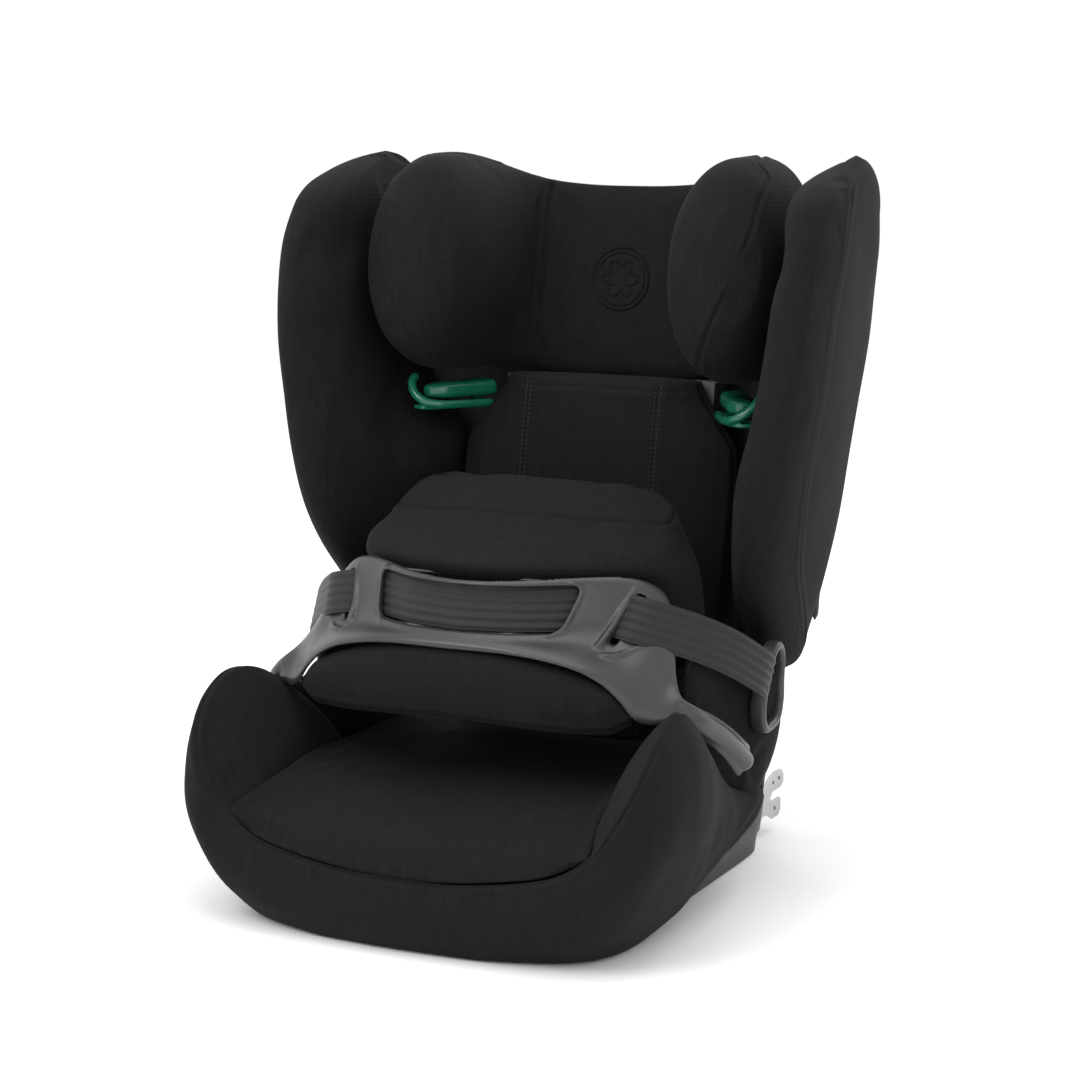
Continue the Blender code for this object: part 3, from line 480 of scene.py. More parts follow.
def makeWebbingLook():
    # woven strap: fine twill; the long ribs are in its mesh
    mat, tree, shader = newMaterial("ribbed_webbing", webbing["colour"], 0.62)
    uv = addNode(tree, "ShaderNodeUVMap", uv_map="cloth").outputs["UV"]
    twill = addNode(tree, "ShaderNodeTexWave", wave_type="BANDS", bands_direction="DIAGONAL")
    twill.inputs["Scale"].default_value = 210.0
    twill.inputs["Distortion"].default_value = 0.6
    tree.links.new(uv, twill.inputs["Vector"])
    fleck = noiseNode(tree, uv, 1100.0, 2.0, 0.6, (1.0, 0.4, 1.0))
    both = mathNode(tree, "ADD", mathNode(tree, "MULTIPLY", twill.outputs["Fac"], 0.35),
                    mathNode(tree, "MULTIPLY", fleck, 0.75))
    cloth = rampNode(tree, both, (0.35, webbing["colour"]), (0.80, webbing["light"]))
    tree.links.new(cloth, shader.inputs["Base Color"])
    bumpNode(tree, shader, both, 0.6, 0.0003)
    shader.inputs["Sheen Weight"].default_value = 0.15
    shader.inputs["Sheen Roughness"].default_value = 0.4
    shader.inputs["Specular IOR Level"].default_value = 0.26
    return mat


def makePlastic(name, dark, light, roughMin, roughMax, grain, grainDepth, specular=0.5, coat=0.0):
    # moulded plastic: fine grain, slight tone drift, gloss that varies a little
    mat, tree, shader = newMaterial(name, dark, roughMax)
    spot = addNode(tree, "ShaderNodeTexCoord").outputs["Object"]
    drift = noiseNode(tree, spot, 14.0, 3.0, 0.55)
    fine = noiseNode(tree, spot, grain, 2.0, 0.6)
    wear = noiseNode(tree, spot, 160.0, 4.0, 0.65)
    tree.links.new(rampNode(tree, drift, (0.3, dark), (0.7, light)), shader.inputs["Base Color"])
    gloss = mathNode(tree, "ADD", mathNode(tree, "MULTIPLY", drift, 0.5),
                     mathNode(tree, "MULTIPLY", wear, 0.5))
    tree.links.new(rampNode(tree, gloss, (0.35, roughMin), (0.65, roughMax)), shader.inputs["Roughness"])
    bumpNode(tree, shader, fine, 0.35, grainDepth)
    shader.inputs["Specular IOR Level"].default_value = specular
    shader.inputs["Coat Weight"].default_value = coat
    shader.inputs["Coat Roughness"].default_value = 0.12
    return mat


def makeMetal(name, dark, light, roughMin, roughMax, stretch):
    # plated or drawn steel: brushed along one direction, with faint cloudy patches
    mat, tree, shader = newMaterial(name, dark, roughMin, 1.0)
    spot = addNode(tree, "ShaderNodeTexCoord").outputs["Object"]
    brushed = noiseNode(tree, spot, 500.0, 3.0, 0.6, stretch)
    cloud = noiseNode(tree, spot, 60.0, 2.0, 0.5)
    mix = mathNode(tree, "ADD", mathNode(tree, "MULTIPLY", brushed, 0.5),
                   mathNode(tree, "MULTIPLY", cloud, 0.5))
    tree.links.new(rampNode(tree, mix, (0.35, dark), (0.65, light)), shader.inputs["Base Color"])
    tree.links.new(rampNode(tree, mix, (0.30, roughMin), (0.70, roughMax)), shader.inputs["Roughness"])
    bumpNode(tree, shader, brushed, 0.15, 0.0002)
    return mat


cover = makeCoverFabric()
thread = makeThread()
webbingLook = makeWebbingLook()
greySatin = makePlastic("grey_satin_plastic", (0.026, 0.0265, 0.0275), (0.034, 0.0345, 0.0355), 0.28, 0.36,
                        1900.0, 0.00010)
blackPlastic = makePlastic("black_grained_plastic", (0.012, 0.012, 0.013), (0.019, 0.019, 0.020), 0.42, 0.58,
                           1100.0, 0.00030)
greenPlastic = makePlastic("green_gloss_plastic", (0.006, 0.118, 0.066), (0.010, 0.150, 0.088), 0.20, 0.30,
                           1500.0, 0.00006, 0.5, 0.3)
redPlastic = makePlastic("red_gloss_plastic", (0.40, 0.012, 0.012), (0.48, 0.022, 0.020), 0.22, 0.32,
                         1500.0, 0.00006)
zincSteel = makeMetal("zinc_plated_steel", (0.40, 0.40, 0.395), (0.54, 0.54, 0.53), 0.32, 0.50, (1, 0.2, 1))
brightSteel = makeMetal("bright_steel", (0.50, 0.50, 0.50), (0.66, 0.66, 0.65), 0.22, 0.36, (0.06, 1, 1))
foam = makePlastic("grey_foam", (0.070, 0.070, 0.072), (0.120, 0.120, 0.122), 0.88, 0.98, 420.0, 0.00080, 0.2)


def dress(obj, mat):
    obj.data.materials.clear()
    obj.data.materials.append(mat)
    return obj


def clothMap(obj):
    # UV map in metres, laid on from the side that each face looks to, so the weave keeps its size
    mesh = obj.data
    layer = mesh.uv_layers.get("cloth") or mesh.uv_layers.new(name="cloth")
    co = coords(obj)
    corner = np.empty(len(mesh.loops), np.int32)
    mesh.loops.foreach_get("vertex_index", corner)
    count = np.empty(len(mesh.polygons), np.int32)
    mesh.polygons.foreach_get("loop_total", count)
    facing = np.empty(len(mesh.polygons) * 3, np.float32)
    mesh.polygons.foreach_get("normal", facing)
    axis = np.repeat(np.argmax(np.abs(facing.reshape(-1, 3)) * (1.0, 1.05, 1.0), axis=1), count)
    at = co[corner]
    u = np.where(axis == 0, at[:, 1], at[:, 0])
    v = np.where(axis == 2, at[:, 1], at[:, 2])
    layer.data.foreach_set("uv", np.stack([u, v], axis=1).astype(np.float32).ravel())


def finishPiece(obj, mat, body, nodes=()):
    dress(obj, mat)
    if mat is cover:
        clothMap(obj)
    if nodes:
        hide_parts(*nodes)
    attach(obj, body)
    return obj


# Geometry nodes: short stitches laid along a seam

def nodeGroup(name, settings):
    # new geometry group; settings gives each further input's key, label and kind
    tree = bpy.data.node_groups.new(name, "GeometryNodeTree")
    tree.interface.new_socket("Geometry", in_out="INPUT", socket_type="NodeSocketGeometry")
    keys = {}
    for key, label, kind in settings:
        socket = tree.interface.new_socket(label, in_out="INPUT", socket_type="NodeSocket" + kind)
        keys[key] = socket.identifier
    tree.interface.new_socket("Geometry", in_out="OUTPUT", socket_type="NodeSocketGeometry")
    return tree, keys


def wired(tree, nodes, routes):
    # routes name a node and its socket at both ends
    for source, outSocket, target, inSocket in routes:
        tree.links.new(nodes[source].outputs[outSocket], nodes[target].inputs[inSocket])


instanceEnd = (
    ("points", "Instances", "real", "Geometry"),
    ("real", "Geometry", "shade", "Geometry"),
    ("shade", "Geometry", "paint", "Geometry"),
    ("start", "Look", "paint", "Material"),
    ("paint", "Geometry", "end", "Geometry"),
)


def instanceNodes(tree):
    # the nodes that both groups have
    kinds = {
        "start": "NodeGroupInput", "points": "GeometryNodeInstanceOnPoints", "size": "ShaderNodeCombineXYZ",
        "scale": "ShaderNodeMath", "real": "GeometryNodeRealizeInstances",
        "shade": "GeometryNodeSetShadeSmooth", "paint": "GeometryNodeSetMaterial", "end": "NodeGroupOutput",
    }
    nodes = {name: tree.nodes.new(kind) for name, kind in kinds.items()}
    nodes["scale"].operation = "MULTIPLY"
    return nodes


def stitchTree():
    tree, keys = nodeGroup("stitch_row", (("pitch", "Pitch", "Float"), ("length", "Stitch Length", "Float"),
                                          ("radius", "Thread Radius", "Float"), ("look", "Look", "Material")))
    nodes = instanceNodes(tree)
    nodes["scale"].inputs[1].default_value = 0.5
    nodes["curve"] = tree.nodes.new("GeometryNodeMeshToCurve")
    nodes["spread"] = addNode(tree, "GeometryNodeResampleCurve", mode="LENGTH")
    nodes["ball"] = addNode(tree, "GeometryNodeMeshIcoSphere", Subdivisions=2, Radius=1.0)
    nodes["tangent"] = tree.nodes.new("GeometryNodeInputTangent")
    nodes["turn"] = addNode(tree, "FunctionNodeAlignEulerToVector", axis="X")
    wired(tree, nodes, (
        ("start", "Geometry", "curve", "Mesh"),
        ("curve", "Curve", "spread", "Curve"),
        ("start", "Pitch", "spread", "Length"),
        ("spread", "Curve", "points", "Points"),
        ("ball", "Mesh", "points", "Instance"),
        ("start", "Stitch Length", "scale", 0),
        ("scale", "Value", "size", "X"),
        ("start", "Thread Radius", "size", "Y"),
        ("start", "Thread Radius", "size", "Z"),
        ("size", "Vector", "points", "Scale"),
        ("tangent", "Tangent", "turn", "Vector"),
        ("turn", "Rotation", "points", "Rotation"),
        *instanceEnd,
    ))
    return tree, keys


def fromNodes(name, verts, edges, group, values):
    # runs a group on a mesh of points and edges, and keeps what it makes
    tree, keys = group
    mesh = bpy.data.meshes.new(name)
    mesh.from_pydata(verts, edges, [])
    obj = newObject(name, mesh)
    modifier = obj.modifiers.new("nodes", "NODES")
    modifier.node_group = tree
    for key, value in values.items():
        modifier[keys[key]] = value
    return applied(obj)


stitches = {"pitch": 0.0042, "length": 0.0030, "radius": 0.00034, "look": thread}
stitchGroup = stitchTree()


def stitchRow(name, lines, body):
    # one object with a stitch row on each of the lines
    verts, edges = [], []
    for line in lines:
        first = len(verts)
        verts += [tuple(p) for p in line]
        edges += [(first + k, first + k + 1) for k in range(len(line) - 1)]
    obj = fromNodes(name, verts, edges, stitchGroup, stitches)
    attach(obj, body)


def onSurface(obj, points, toward, lift=0.0):
    # drops points onto a piece along a direction
    bpy.context.view_layer.update()
    toward = Vector(toward).normalized()
    out = []
    for p in points:
        hit, spot, normal, _ = obj.ray_cast(Vector(p) - toward * 0.08, toward, distance=0.4)
        out.append(spot + normal * lift if hit else Vector(p))
    return out


# Seat cover: bolsters and apron in one piece

seatCover = {
    "step": 0.005,
    "puff": 0.006,
    # right half from the rear to the middle of the front edge: foot, inner panel, crest, upper, middle and
    # lower apron, hem
    "stations": (
        ((0.1705, 0.102, 0.0795), (0.173, 0.102, 0.083), (0.180, 0.102, 0.087), (0.186, 0.102, 0.082),
         (0.1855, 0.102, 0.072), (0.181, 0.102, 0.062), (0.1755, 0.102, 0.055)),
        ((0.1705, 0.050, 0.080), (0.177, 0.050, 0.088), (0.188, 0.050, 0.093), (0.201, 0.050, 0.087),
         (0.201, 0.048, 0.070), (0.191, 0.044, 0.055), (0.177, 0.040, 0.047)),
        ((0.1705, 0.000, 0.085), (0.180, 0.000, 0.095), (0.1915, 0.000, 0.1005), (0.205, 0.000, 0.094),
         (0.207, -0.002, 0.070), (0.194, -0.006, 0.046), (0.177, -0.010, 0.032)),
        ((0.166, -0.030, 0.100), (0.178, -0.030, 0.111), (0.193, -0.030, 0.117), (0.206, -0.030, 0.106),
         (0.211, -0.032, 0.078), (0.197, -0.037, 0.042), (0.1765, -0.042, 0.020)),
        ((0.159, -0.060, 0.117), (0.172, -0.060, 0.136), (0.191, -0.060, 0.145), (0.207, -0.060, 0.129),
         (0.215, -0.062, 0.093), (0.200, -0.066, 0.042), (0.1765, -0.070, 0.012)),
        ((0.153, -0.095, 0.1215), (0.166, -0.095, 0.150), (0.193, -0.095, 0.170), (0.213, -0.095, 0.152),
         (0.2205, -0.096, 0.108), (0.203, -0.098, 0.044), (0.1765, -0.100, 0.006)),
        ((0.1495, -0.130, 0.1235), (0.163, -0.130, 0.157), (0.201, -0.129, 0.193), (0.220, -0.130, 0.171),
         (0.2265, -0.131, 0.116), (0.205, -0.131, 0.045), (0.1755, -0.131, 0.004)),
        ((0.151, -0.160, 0.1185), (0.164, -0.159, 0.150), (0.208, -0.159, 0.1985), (0.225, -0.161, 0.172),
         (0.229, -0.163, 0.116), (0.204, -0.163, 0.044), (0.1745, -0.160, 0.003)),
        ((0.157, -0.195, 0.111), (0.171, -0.196, 0.133), (0.2095, -0.198, 0.182), (0.223, -0.199, 0.154),
         (0.224, -0.202, 0.104), (0.197, -0.200, 0.040), (0.169, -0.190, 0.003)),
        ((0.163, -0.215, 0.104), (0.177, -0.220, 0.117), (0.2045, -0.2235, 0.155), (0.213, -0.226, 0.132),
         (0.211, -0.229, 0.090), (0.186, -0.222, 0.036), (0.159, -0.207, 0.0025)),
        ((0.166, -0.226, 0.099), (0.174, -0.231, 0.106), (0.190, -0.238, 0.124), (0.195, -0.2415, 0.106),
         (0.1895, -0.2455, 0.074), (0.167, -0.239, 0.030), (0.140, -0.222, 0.002)),
        ((0.1655, -0.2325, 0.0925), (0.167, -0.235, 0.0945), (0.170, -0.2395, 0.0975),
         (0.1725, -0.244, 0.086), (0.166, -0.2495, 0.060), (0.147, -0.2445, 0.026), (0.125, -0.229, 0.002)),
        ((0.138, -0.238, 0.076), (0.139, -0.240, 0.077), (0.1405, -0.245, 0.0785), (0.142, -0.2495, 0.068),
         (0.137, -0.2535, 0.049), (0.122, -0.2495, 0.022), (0.105, -0.236, 0.002)),
        ((0.098, -0.2395, 0.0665), (0.099, -0.242, 0.068), (0.100, -0.248, 0.0692), (0.101, -0.2525, 0.060),
         (0.0975, -0.257, 0.043), (0.088, -0.2545, 0.020), (0.076, -0.243, 0.0015)),
        ((0.050, -0.240, 0.060), (0.050, -0.243, 0.061), (0.0505, -0.2498, 0.0622), (0.0505, -0.2545, 0.053),
         (0.049, -0.259, 0.038), (0.044, -0.257, 0.018), (0.038, -0.246, 0.0015)),
        ((0.000, -0.240, 0.0575), (0.000, -0.243, 0.059), (0.000, -0.2503, 0.0598), (0.000, -0.255, 0.051),
         (0.000, -0.2597, 0.036), (0.000, -0.2578, 0.017), (0.000, -0.247, 0.0015)),
    ),
}


def mirrored(points):
    return [(-x, y, z) for x, y, z in points]


def makeSeatCover():
    half = seatCover["stations"]
    full = [mirrored(s) for s in half[:-1]] + list(half[::-1])
    rings = []
    for foot, inner, crest, upper, middle, lower, hem in full:
        hem = np.array(hem)
        inward = -np.array((hem[0], 0.35 * hem[1], 0.0))
        inward /= np.linalg.norm(inward)
        hemIn = hem + inward * 0.0030 + np.array((0, 0, 0.0004))
        wallIn = hem + inward * 0.0020
        wallIn[2] = min(foot[2], 0.0785) - 0.016
        under = np.array(foot) + inward * 0.0010
        under[2] = max(min(foot[2] - 0.004, 0.0800), wallIn[2] + 0.006)
        rings.append([foot, inner, crest, upper, middle, lower, hem, hemIn, wallIn, under])
    cloth = loft("seat_cover", rings, seatCover["step"])
    crest, foot, hem = ([section[k] for section in full] for k in (2, 0, 6))
    held = holdNear(cloth, [crest, foot, hem], 0.007,
                    lambda co: (np.abs(co[:, 0]) < 0.1785) & (co[:, 2] < 0.075) & (co[:, 1] > -0.2395))
    puffed(cloth, seatCover["puff"], held)
    subdivided(cloth)
    co = coords(cloth)
    soft = noiseField(co * np.array((1, 1, 0.7)), 0.11, 3) * 0.0009 + noiseField(co, 0.045, 4) * 0.0003
    outside = np.clip((co[:, 2] - 0.004) / 0.02, 0, 1)
    # a long soft fold that runs from the rear of each side down to the hem
    for side in (-1, 1):
        a = np.array((side * 0.206, 0.060, 0.082))
        b = np.array((side * 0.180, -0.120, 0.006))
        run = (b - a) / np.linalg.norm(b - a)
        rel = co - a
        t = rel @ run
        far = np.linalg.norm(rel[:, 1:] - t[:, None] * run[1:], axis=1)
        onSide = (co[:, 0] * side > 0.165) & (t > -0.01) & (t < 0.22)
        soft -= onSide * 0.0030 * np.exp(-(far / 0.007) ** 2)
        soft += onSide * 0.0016 * np.exp(-((far - 0.014) / 0.008) ** 2)
    pushOut(cloth, soft * outside)
    sewSeam(cloth, crest[3:-3], 0.0020, 0.0015, 0.0010)
    smoothShade(cloth)
    finishPiece(cloth, cover, "base", ("bolster_left", "bolster_right", "seat_skirt"))
    print("seat cover", len(cloth.data.polygons))
    return crest


seatPan = {
    "step": 0.0046,
    "puff": 0.004,
    "rest": 0.0795,    # height of the tray that the cushion lies on
    # middle of the row, then its right edge
    "rows": (
        ((0, -0.2495, 0.0603), (0.1665, -0.2350, 0.0938)),
        ((0, -0.2478, 0.0730), (0.1660, -0.2325, 0.0980)),
        ((0, -0.2405, 0.0868), (0.1645, -0.2262, 0.1015)),
        ((0, -0.2255, 0.0975), (0.1612, -0.2130, 0.1058)),
        ((0, -0.2000, 0.1040), (0.1562, -0.1958, 0.1112)),
        ((0, -0.1650, 0.1080), (0.1503, -0.1640, 0.1182)),
        ((0, -0.1200, 0.1110), (0.1492, -0.1240, 0.1226)),
        ((0, -0.0600, 0.1140), (0.1580, -0.0600, 0.1180)),
        ((0, 0.0000, 0.1155), (0.1650, 0.0000, 0.1140)),
        ((0, 0.0550, 0.1150), (0.1660, 0.0650, 0.1135)),
        ((0, 0.0800, 0.1090), (0.1660, 0.1000, 0.1120)),
    ),
}


def makeSeatPan(crest):
    rings = []
    seam = np.array(crest, float)
    seam = seam[np.argsort(seam[:, 0])]
    for k, (middle, edge) in enumerate(seatPan["rows"]):
        ring = []
        for f in (-1.0, -0.94, -0.8, -0.55, -0.28, 0.0, 0.28, 0.55, 0.8, 0.94, 1.0):
            x = edge[0] * f
            blend = abs(f) ** 3.2
            y = middle[1] + (edge[1] - middle[1]) * blend
            z = middle[2] + (edge[2] - middle[2]) * blend
            if k < 3:     # the first rows follow the front seam
                seamY = np.interp(x, seam[:, 0], seam[:, 1]) + 0.0012
                seamZ = np.interp(x, seam[:, 0], seam[:, 2]) - 0.0004
                share = (1.0, 0.55, 0.15)[k]
                y = y + (seamY - y) * share
                z = z + (seamZ - z) * share
            ring.append((x, y, z))
        bottom = min(seatPan["rest"], min(p[2] for p in ring) - 0.006) if k < 2 else seatPan["rest"]
        back = 0.0040 * (k < 2)
        corner = (edge[0] - 0.003, edge[1] + 0.004 + back, min(edge[2] - 0.006, seatPan["rest"]))
        ring.append(corner)
        ring.append((0.0, max(middle[1] + 0.005 + back, -0.2385), bottom))
        ring.append((-corner[0], *corner[1:]))
        rings.append(ring)
    cloth = loft("seat_pan", rings, seatPan["step"])
    edges = [[ring[10] for ring in rings], [ring[0] for ring in rings], rings[0][:11], rings[-1][:11]]
    held = holdNear(cloth, edges, 0.006, lambda co: (co[:, 2] < 0.092).astype(float) * (co[:, 1] > -0.238))
    puffed(cloth, seatPan["puff"], held, 2.5)
    subdivided(cloth)
    co = coords(cloth)
    crumple = noiseField(co, 0.12, 11) * 0.0008 + noiseField(co, 0.05, 12) * 0.0003
    pushOut(cloth, crumple * np.clip(normals(cloth)[:, 2], 0, 1))
    smoothShade(cloth)
    finishPiece(cloth, cover, "base", ("seat_cushion",))
    print("seat pan", len(cloth.data.polygons))


hipPanel = {
    "step": 0.0040,
    "puff": 0.004,
    "inner": 0.1705,
    # y, top height, outer x, foot height
    "stations": (
        (-0.0640, 0.2120, 0.1795, 0.1160),
        (-0.0560, 0.2260, 0.1835, 0.1110),
        (-0.0420, 0.2350, 0.1860, 0.1240),
        (-0.0240, 0.2395, 0.1890, 0.1120),
        (-0.0060, 0.2375, 0.1930, 0.0980),
        (0.0120, 0.2330, 0.2030, 0.0880),
        (0.0300, 0.2260, 0.2120, 0.0830),
        (0.0500, 0.2150, 0.2160, 0.0810),
        (0.0680, 0.2020, 0.2140, 0.0800),
        (0.0800, 0.1880, 0.2060, 0.0800),
    ),
}


def makeHips():
    inner = hipPanel["inner"]
    for name, side in sides:
        rings = []
        for y, top, out, foot in hipPanel["stations"]:
            tall = top - foot
            tuck = 0.016 * min(1, max(0, (y - 0.02) / 0.04))
            ring = [(inner, foot + 0.002), (inner + 0.0005, foot + tall * 0.5), (inner + 0.001, top - 0.012),
                    (inner + 0.006, top - 0.002), ((inner + out) / 2 + 0.002, top),
                    (out - 0.005, top - 0.006), (out - 0.001, top - tall * 0.22),
                    (out - 0.15 * tuck, foot + tall * 0.5), (out - 0.002 - 0.6 * tuck, foot + tall * 0.18),
                    (out - 0.006 - tuck, foot + 0.001), ((inner + out) / 2, foot)]
            rings.append([(side * x, y, z) for x, z in ring])
        pad = loft("hip_panel_" + name, rings, hipPanel["step"], poleOut=(0.002, 0.002))
        held = holdNear(pad, [], 0.006, lambda co, s=side: co[:, 0] * s < 0.176)
        puffed(pad, hipPanel["puff"], held)
        subdivided(pad)
        # pulls and folds that fan out round the end of the frame's arm and the strap guide
        co = coords(pad)
        folds = 0.0
        for spot, count, phase, depth, start, fade in (((0.205, 0.010, 0.118), 5, 0.8, 0.0014, 0.016, 0.014),
                                                       ((0.209, 0.030, 0.186), 4, 0.0, 0.0008, 0.040, 0.012)):
            rel = co - np.array((side * spot[0], *spot[1:]))
            far = np.linalg.norm(rel, axis=1)
            fan = np.cos(np.arctan2(rel[:, 2], rel[:, 1]) * count + phase)
            folds = folds + fan * depth * np.exp(-((far - start) / fade) ** 2)
        outer = np.clip(normals(pad)[:, 0] * side, 0, 1)
        pushOut(pad, folds * outer + noiseField(co, 0.07, 21) * 0.0006)
        frontSeam = [(side * (out - 0.0030), y, top - 0.009) for y, top, out, _ in hipPanel["stations"]]
        sewSeam(pad, frontSeam, 0.0014, 0.0013, 0.0006)
        smoothShade(pad)
        finishPiece(pad, cover, "base", ("hip_pad_" + name,))
    print("hips")


# Backrest

def backFront(z):
    return 0.117 + rake * (z - 0.34)


def stations(table, z):
    xs = [a for a, _ in table]
    return float(np.interp(z, xs, [b for _, b in table]))


backPanel = {
    "step": 0.0046,
    "puff": 0.005,
    "half": ((0.094, 0.128), (0.145, 0.132), (0.200, 0.134), (0.330, 0.138), (0.370, 0.136), (0.395, 0.118),
             (0.415, 0.102), (0.445, 0.090)),
    "heights": (0.0935, 0.0985, 0.130, 0.170, 0.220, 0.270, 0.320, 0.350, 0.372, 0.386, 0.398, 0.410, 0.421,
                0.4315),
    "stitchX": 0.065,
}


def makeBackPanel():
    rings = []
    for z in backPanel["heights"]:
        half, front = stations(backPanel["half"], z), backFront(z)
        thin = 0.004 if z in (backPanel["heights"][0], backPanel["heights"][-1]) else 0.0
        ring = [(0, front + thin), (half * 0.30, front + thin + 0.0005), (half * 0.55, front + thin + 0.002),
                (half * 0.80, front + 0.009 + thin * 0.5), (half * 0.94, front + 0.018),
                (half, front + 0.028),
                (half * 0.97, front + 0.0375 - thin), (half * 0.6, front + 0.0395 - thin),
                (0, front + 0.0395 - thin)]
        rings.append([(x, y, z) for x, y in bothSides(ring)])
    pad = loft("back_panel", rings, backPanel["step"], poleOut=(0.001, 0.001))
    lines = [[(x, backFront(z) + 0.001, z) for z in (0.110, 0.18, 0.26, 0.34, 0.39, 0.425)]
             for x in (-backPanel["stitchX"], backPanel["stitchX"])]
    borders = [[(side * stations(backPanel["half"], z) * 0.985, backFront(z) + 0.0255, z)
                for z in backPanel["heights"]] for side in (-1, 1)]
    held = holdNear(pad, lines + borders, 0.005, lambda co: co[:, 1] > backFront(co[:, 2]) + 0.034)
    puffed(pad, backPanel["puff"], held, 3.0)
    subdivided(pad)
    for line in lines:
        sewSeam(pad, onSurface(pad, line, (0, 1, 0)), 0.0016, 0.0020, 0.0008)
    for border in borders:
        sewSeam(pad, border, 0.0020, 0.0016, 0.0008)
    topLine = [(x, backFront(0.424) + 0.004 + 6 * x * x * 0.25, 0.4235 - abs(x) * 0.02)
               for x in (-0.085, -0.06, -0.03, 0, 0.03, 0.06, 0.085)]
    sewSeam(pad, onSurface(pad, topLine, (0, 1, 0)), 0.0014, 0.0014, 0.0006)
    smoothShade(pad)
    rows = []
    for line in lines:
        for shift in (-0.0024, 0.0024):
            fine = curveThrough([(p[0] + shift, p[1], p[2]) for p in line], 90)
            rows.append(onSurface(pad, fine, (0, 1, 0), 0.0001))
    stitchRow("back_panel_stitches", rows, "backrest")
    finishPiece(pad, cover, "backrest", ("back_pad",))
    print("back panel", len(pad.data.polygons))


backWing = {
    "step": 0.0050,
    "puff": 0.005,
    "thick": 0.046,
    "out": ((0.172, 0.190), (0.193, 0.209), (0.240, 0.221), (0.313, 0.235), (0.404, 0.249), (0.466, 0.258),
            (0.554, 0.264), (0.632, 0.260)),
    "nose": ((0.172, 0.118), (0.200, 0.086), (0.237, 0.050), (0.283, 0.011), (0.322, -0.005), (0.380, -0.013),
             (0.468, -0.008), (0.520, 0.000), (0.557, 0.013), (0.590, 0.030), (0.608, 0.046), (0.622, 0.068),
             (0.632, 0.092)),
    "root": ((0.172, 0.150), (0.370, 0.146), (0.446, 0.205), (0.632, 0.216)),
    "heights": (0.1760, 0.1775, 0.181, 0.187, 0.196, 0.216, 0.245, 0.280, 0.320, 0.370, 0.420, 0.470, 0.515,
                0.555, 0.582, 0.597, 0.610, 0.620, 0.6265, 0.6305, 0.6322),
}


def makeBackWings():
    for name, side in sides:
        rings = []
        seam = []
        for z in backWing["heights"]:
            out, nose, root = (stations(backWing[key], z) for key in ("out", "nose", "root"))
            front = backFront(z)
            inner = out - backWing["thick"]
            rear = front + 0.056
            tuck = 0.004 + 0.016 * min(1, max(0, (z - 0.30) / 0.26))
            ring = [(root, front + 0.030),
                    (root + (inner - root) * 0.55, front + 0.030 + (nose - front - 0.03) * 0.5),
                    (inner, nose + 0.022), (out - 0.034, nose + 0.0035), (out - 0.021, nose - 0.0025),
                    (out - 0.008, nose + 0.0030), (out - 0.001, nose + 0.018),
                    (out + 0.001, nose + (rear - nose) * 0.50), (out - 0.6 * tuck, rear - 0.016),
                    (out - 0.008 - tuck, rear - 0.001), (root + (out - root) * 0.25, rear),
                    (root + 0.002, rear - 0.006)]
            # the section draws in towards the rounded top and the foot
            over = max((z - 0.585) / 0.0485, (0.192 - z) / 0.0168, 0.0)
            heart = np.array((out - 0.5 * backWing["thick"], rear - 0.03))
            middle = np.mean(ring, axis=0) * 0.5 + heart * 0.5
            ring = [tuple(middle + (np.array(p) - middle) * (1 - over ** 2.6) ** 0.5) for p in ring]
            rings.append([(side * x, y, z) for x, y in ring])
            seamY = nose + 0.048 if side > 0 else nose + 0.010
            seam.append((side * (out - (0.0005 if side > 0 else 0.003)), min(seamY, rear - 0.02), z))
        wing = loft("back_wing_" + name, rings, backWing["step"], poleOut=(0.0025, 0.0035))
        line = seam[1:-1]
        held = holdNear(wing, [line], 0.006, lambda co: co[:, 1] > backFront(co[:, 2]) + 0.040)
        puffed(wing, backWing["puff"], held)
        subdivided(wing)
        pushOut(wing, noiseField(coords(wing) * np.array((1, 1, 0.5)), 0.12, 31 + side) * 0.0008)
        sewSeam(wing, line, 0.0018, 0.0014, 0.0008)
        smoothShade(wing)
        finishPiece(wing, cover, "backrest", ("wing_pad_" + name,))
    print("back wings")


# Headrest: one cover over the middle panel and both head wings

headCover = {
    "step": 0.0042,
    "puff": 0.005,
    # plan points at mid height: inner face, outer face, lowest and highest point, squareness of the section
    "stations": (
        ((0.000, 0.1985), (0.000, 0.2190), 0.4240, 0.6035, 3.0),
        ((0.045, 0.1985), (0.045, 0.2190), 0.4245, 0.6045, 3.0),
        ((0.078, 0.1970), (0.082, 0.2190), 0.4280, 0.6085, 2.9),
        ((0.092, 0.1800), (0.124, 0.2180), 0.4320, 0.6165, 2.6),
        ((0.0950, 0.1500), (0.168, 0.2110), 0.4335, 0.6255, 2.4),
        ((0.0960, 0.1180), (0.194, 0.1850), 0.4335, 0.6325, 2.25),
        ((0.0970, 0.0880), (0.2000, 0.1450), 0.4365, 0.6345, 2.2),
        ((0.1040, 0.0620), (0.2010, 0.1070), 0.4460, 0.6320, 2.15),
        ((0.1230, 0.0450), (0.1990, 0.0780), 0.4640, 0.6190, 2.1),
        ((0.1460, 0.0375), (0.1925, 0.0560), 0.4900, 0.5930, 2.0),
    ),
    "tip": 0.0045,
    "ridge": ((0.132, 0.200), (0.150, 0.165), (0.160, 0.135), (0.168, 0.110)),
    "rim": ((0.1790, 0.6180), (0.1830, 0.5960), (0.1790, 0.5600), (0.1680, 0.5250), (0.1540, 0.4950),
            (0.1410, 0.4680), (0.1320, 0.4500)),
}


def headLean(z):
    return rake * (z - 0.52)


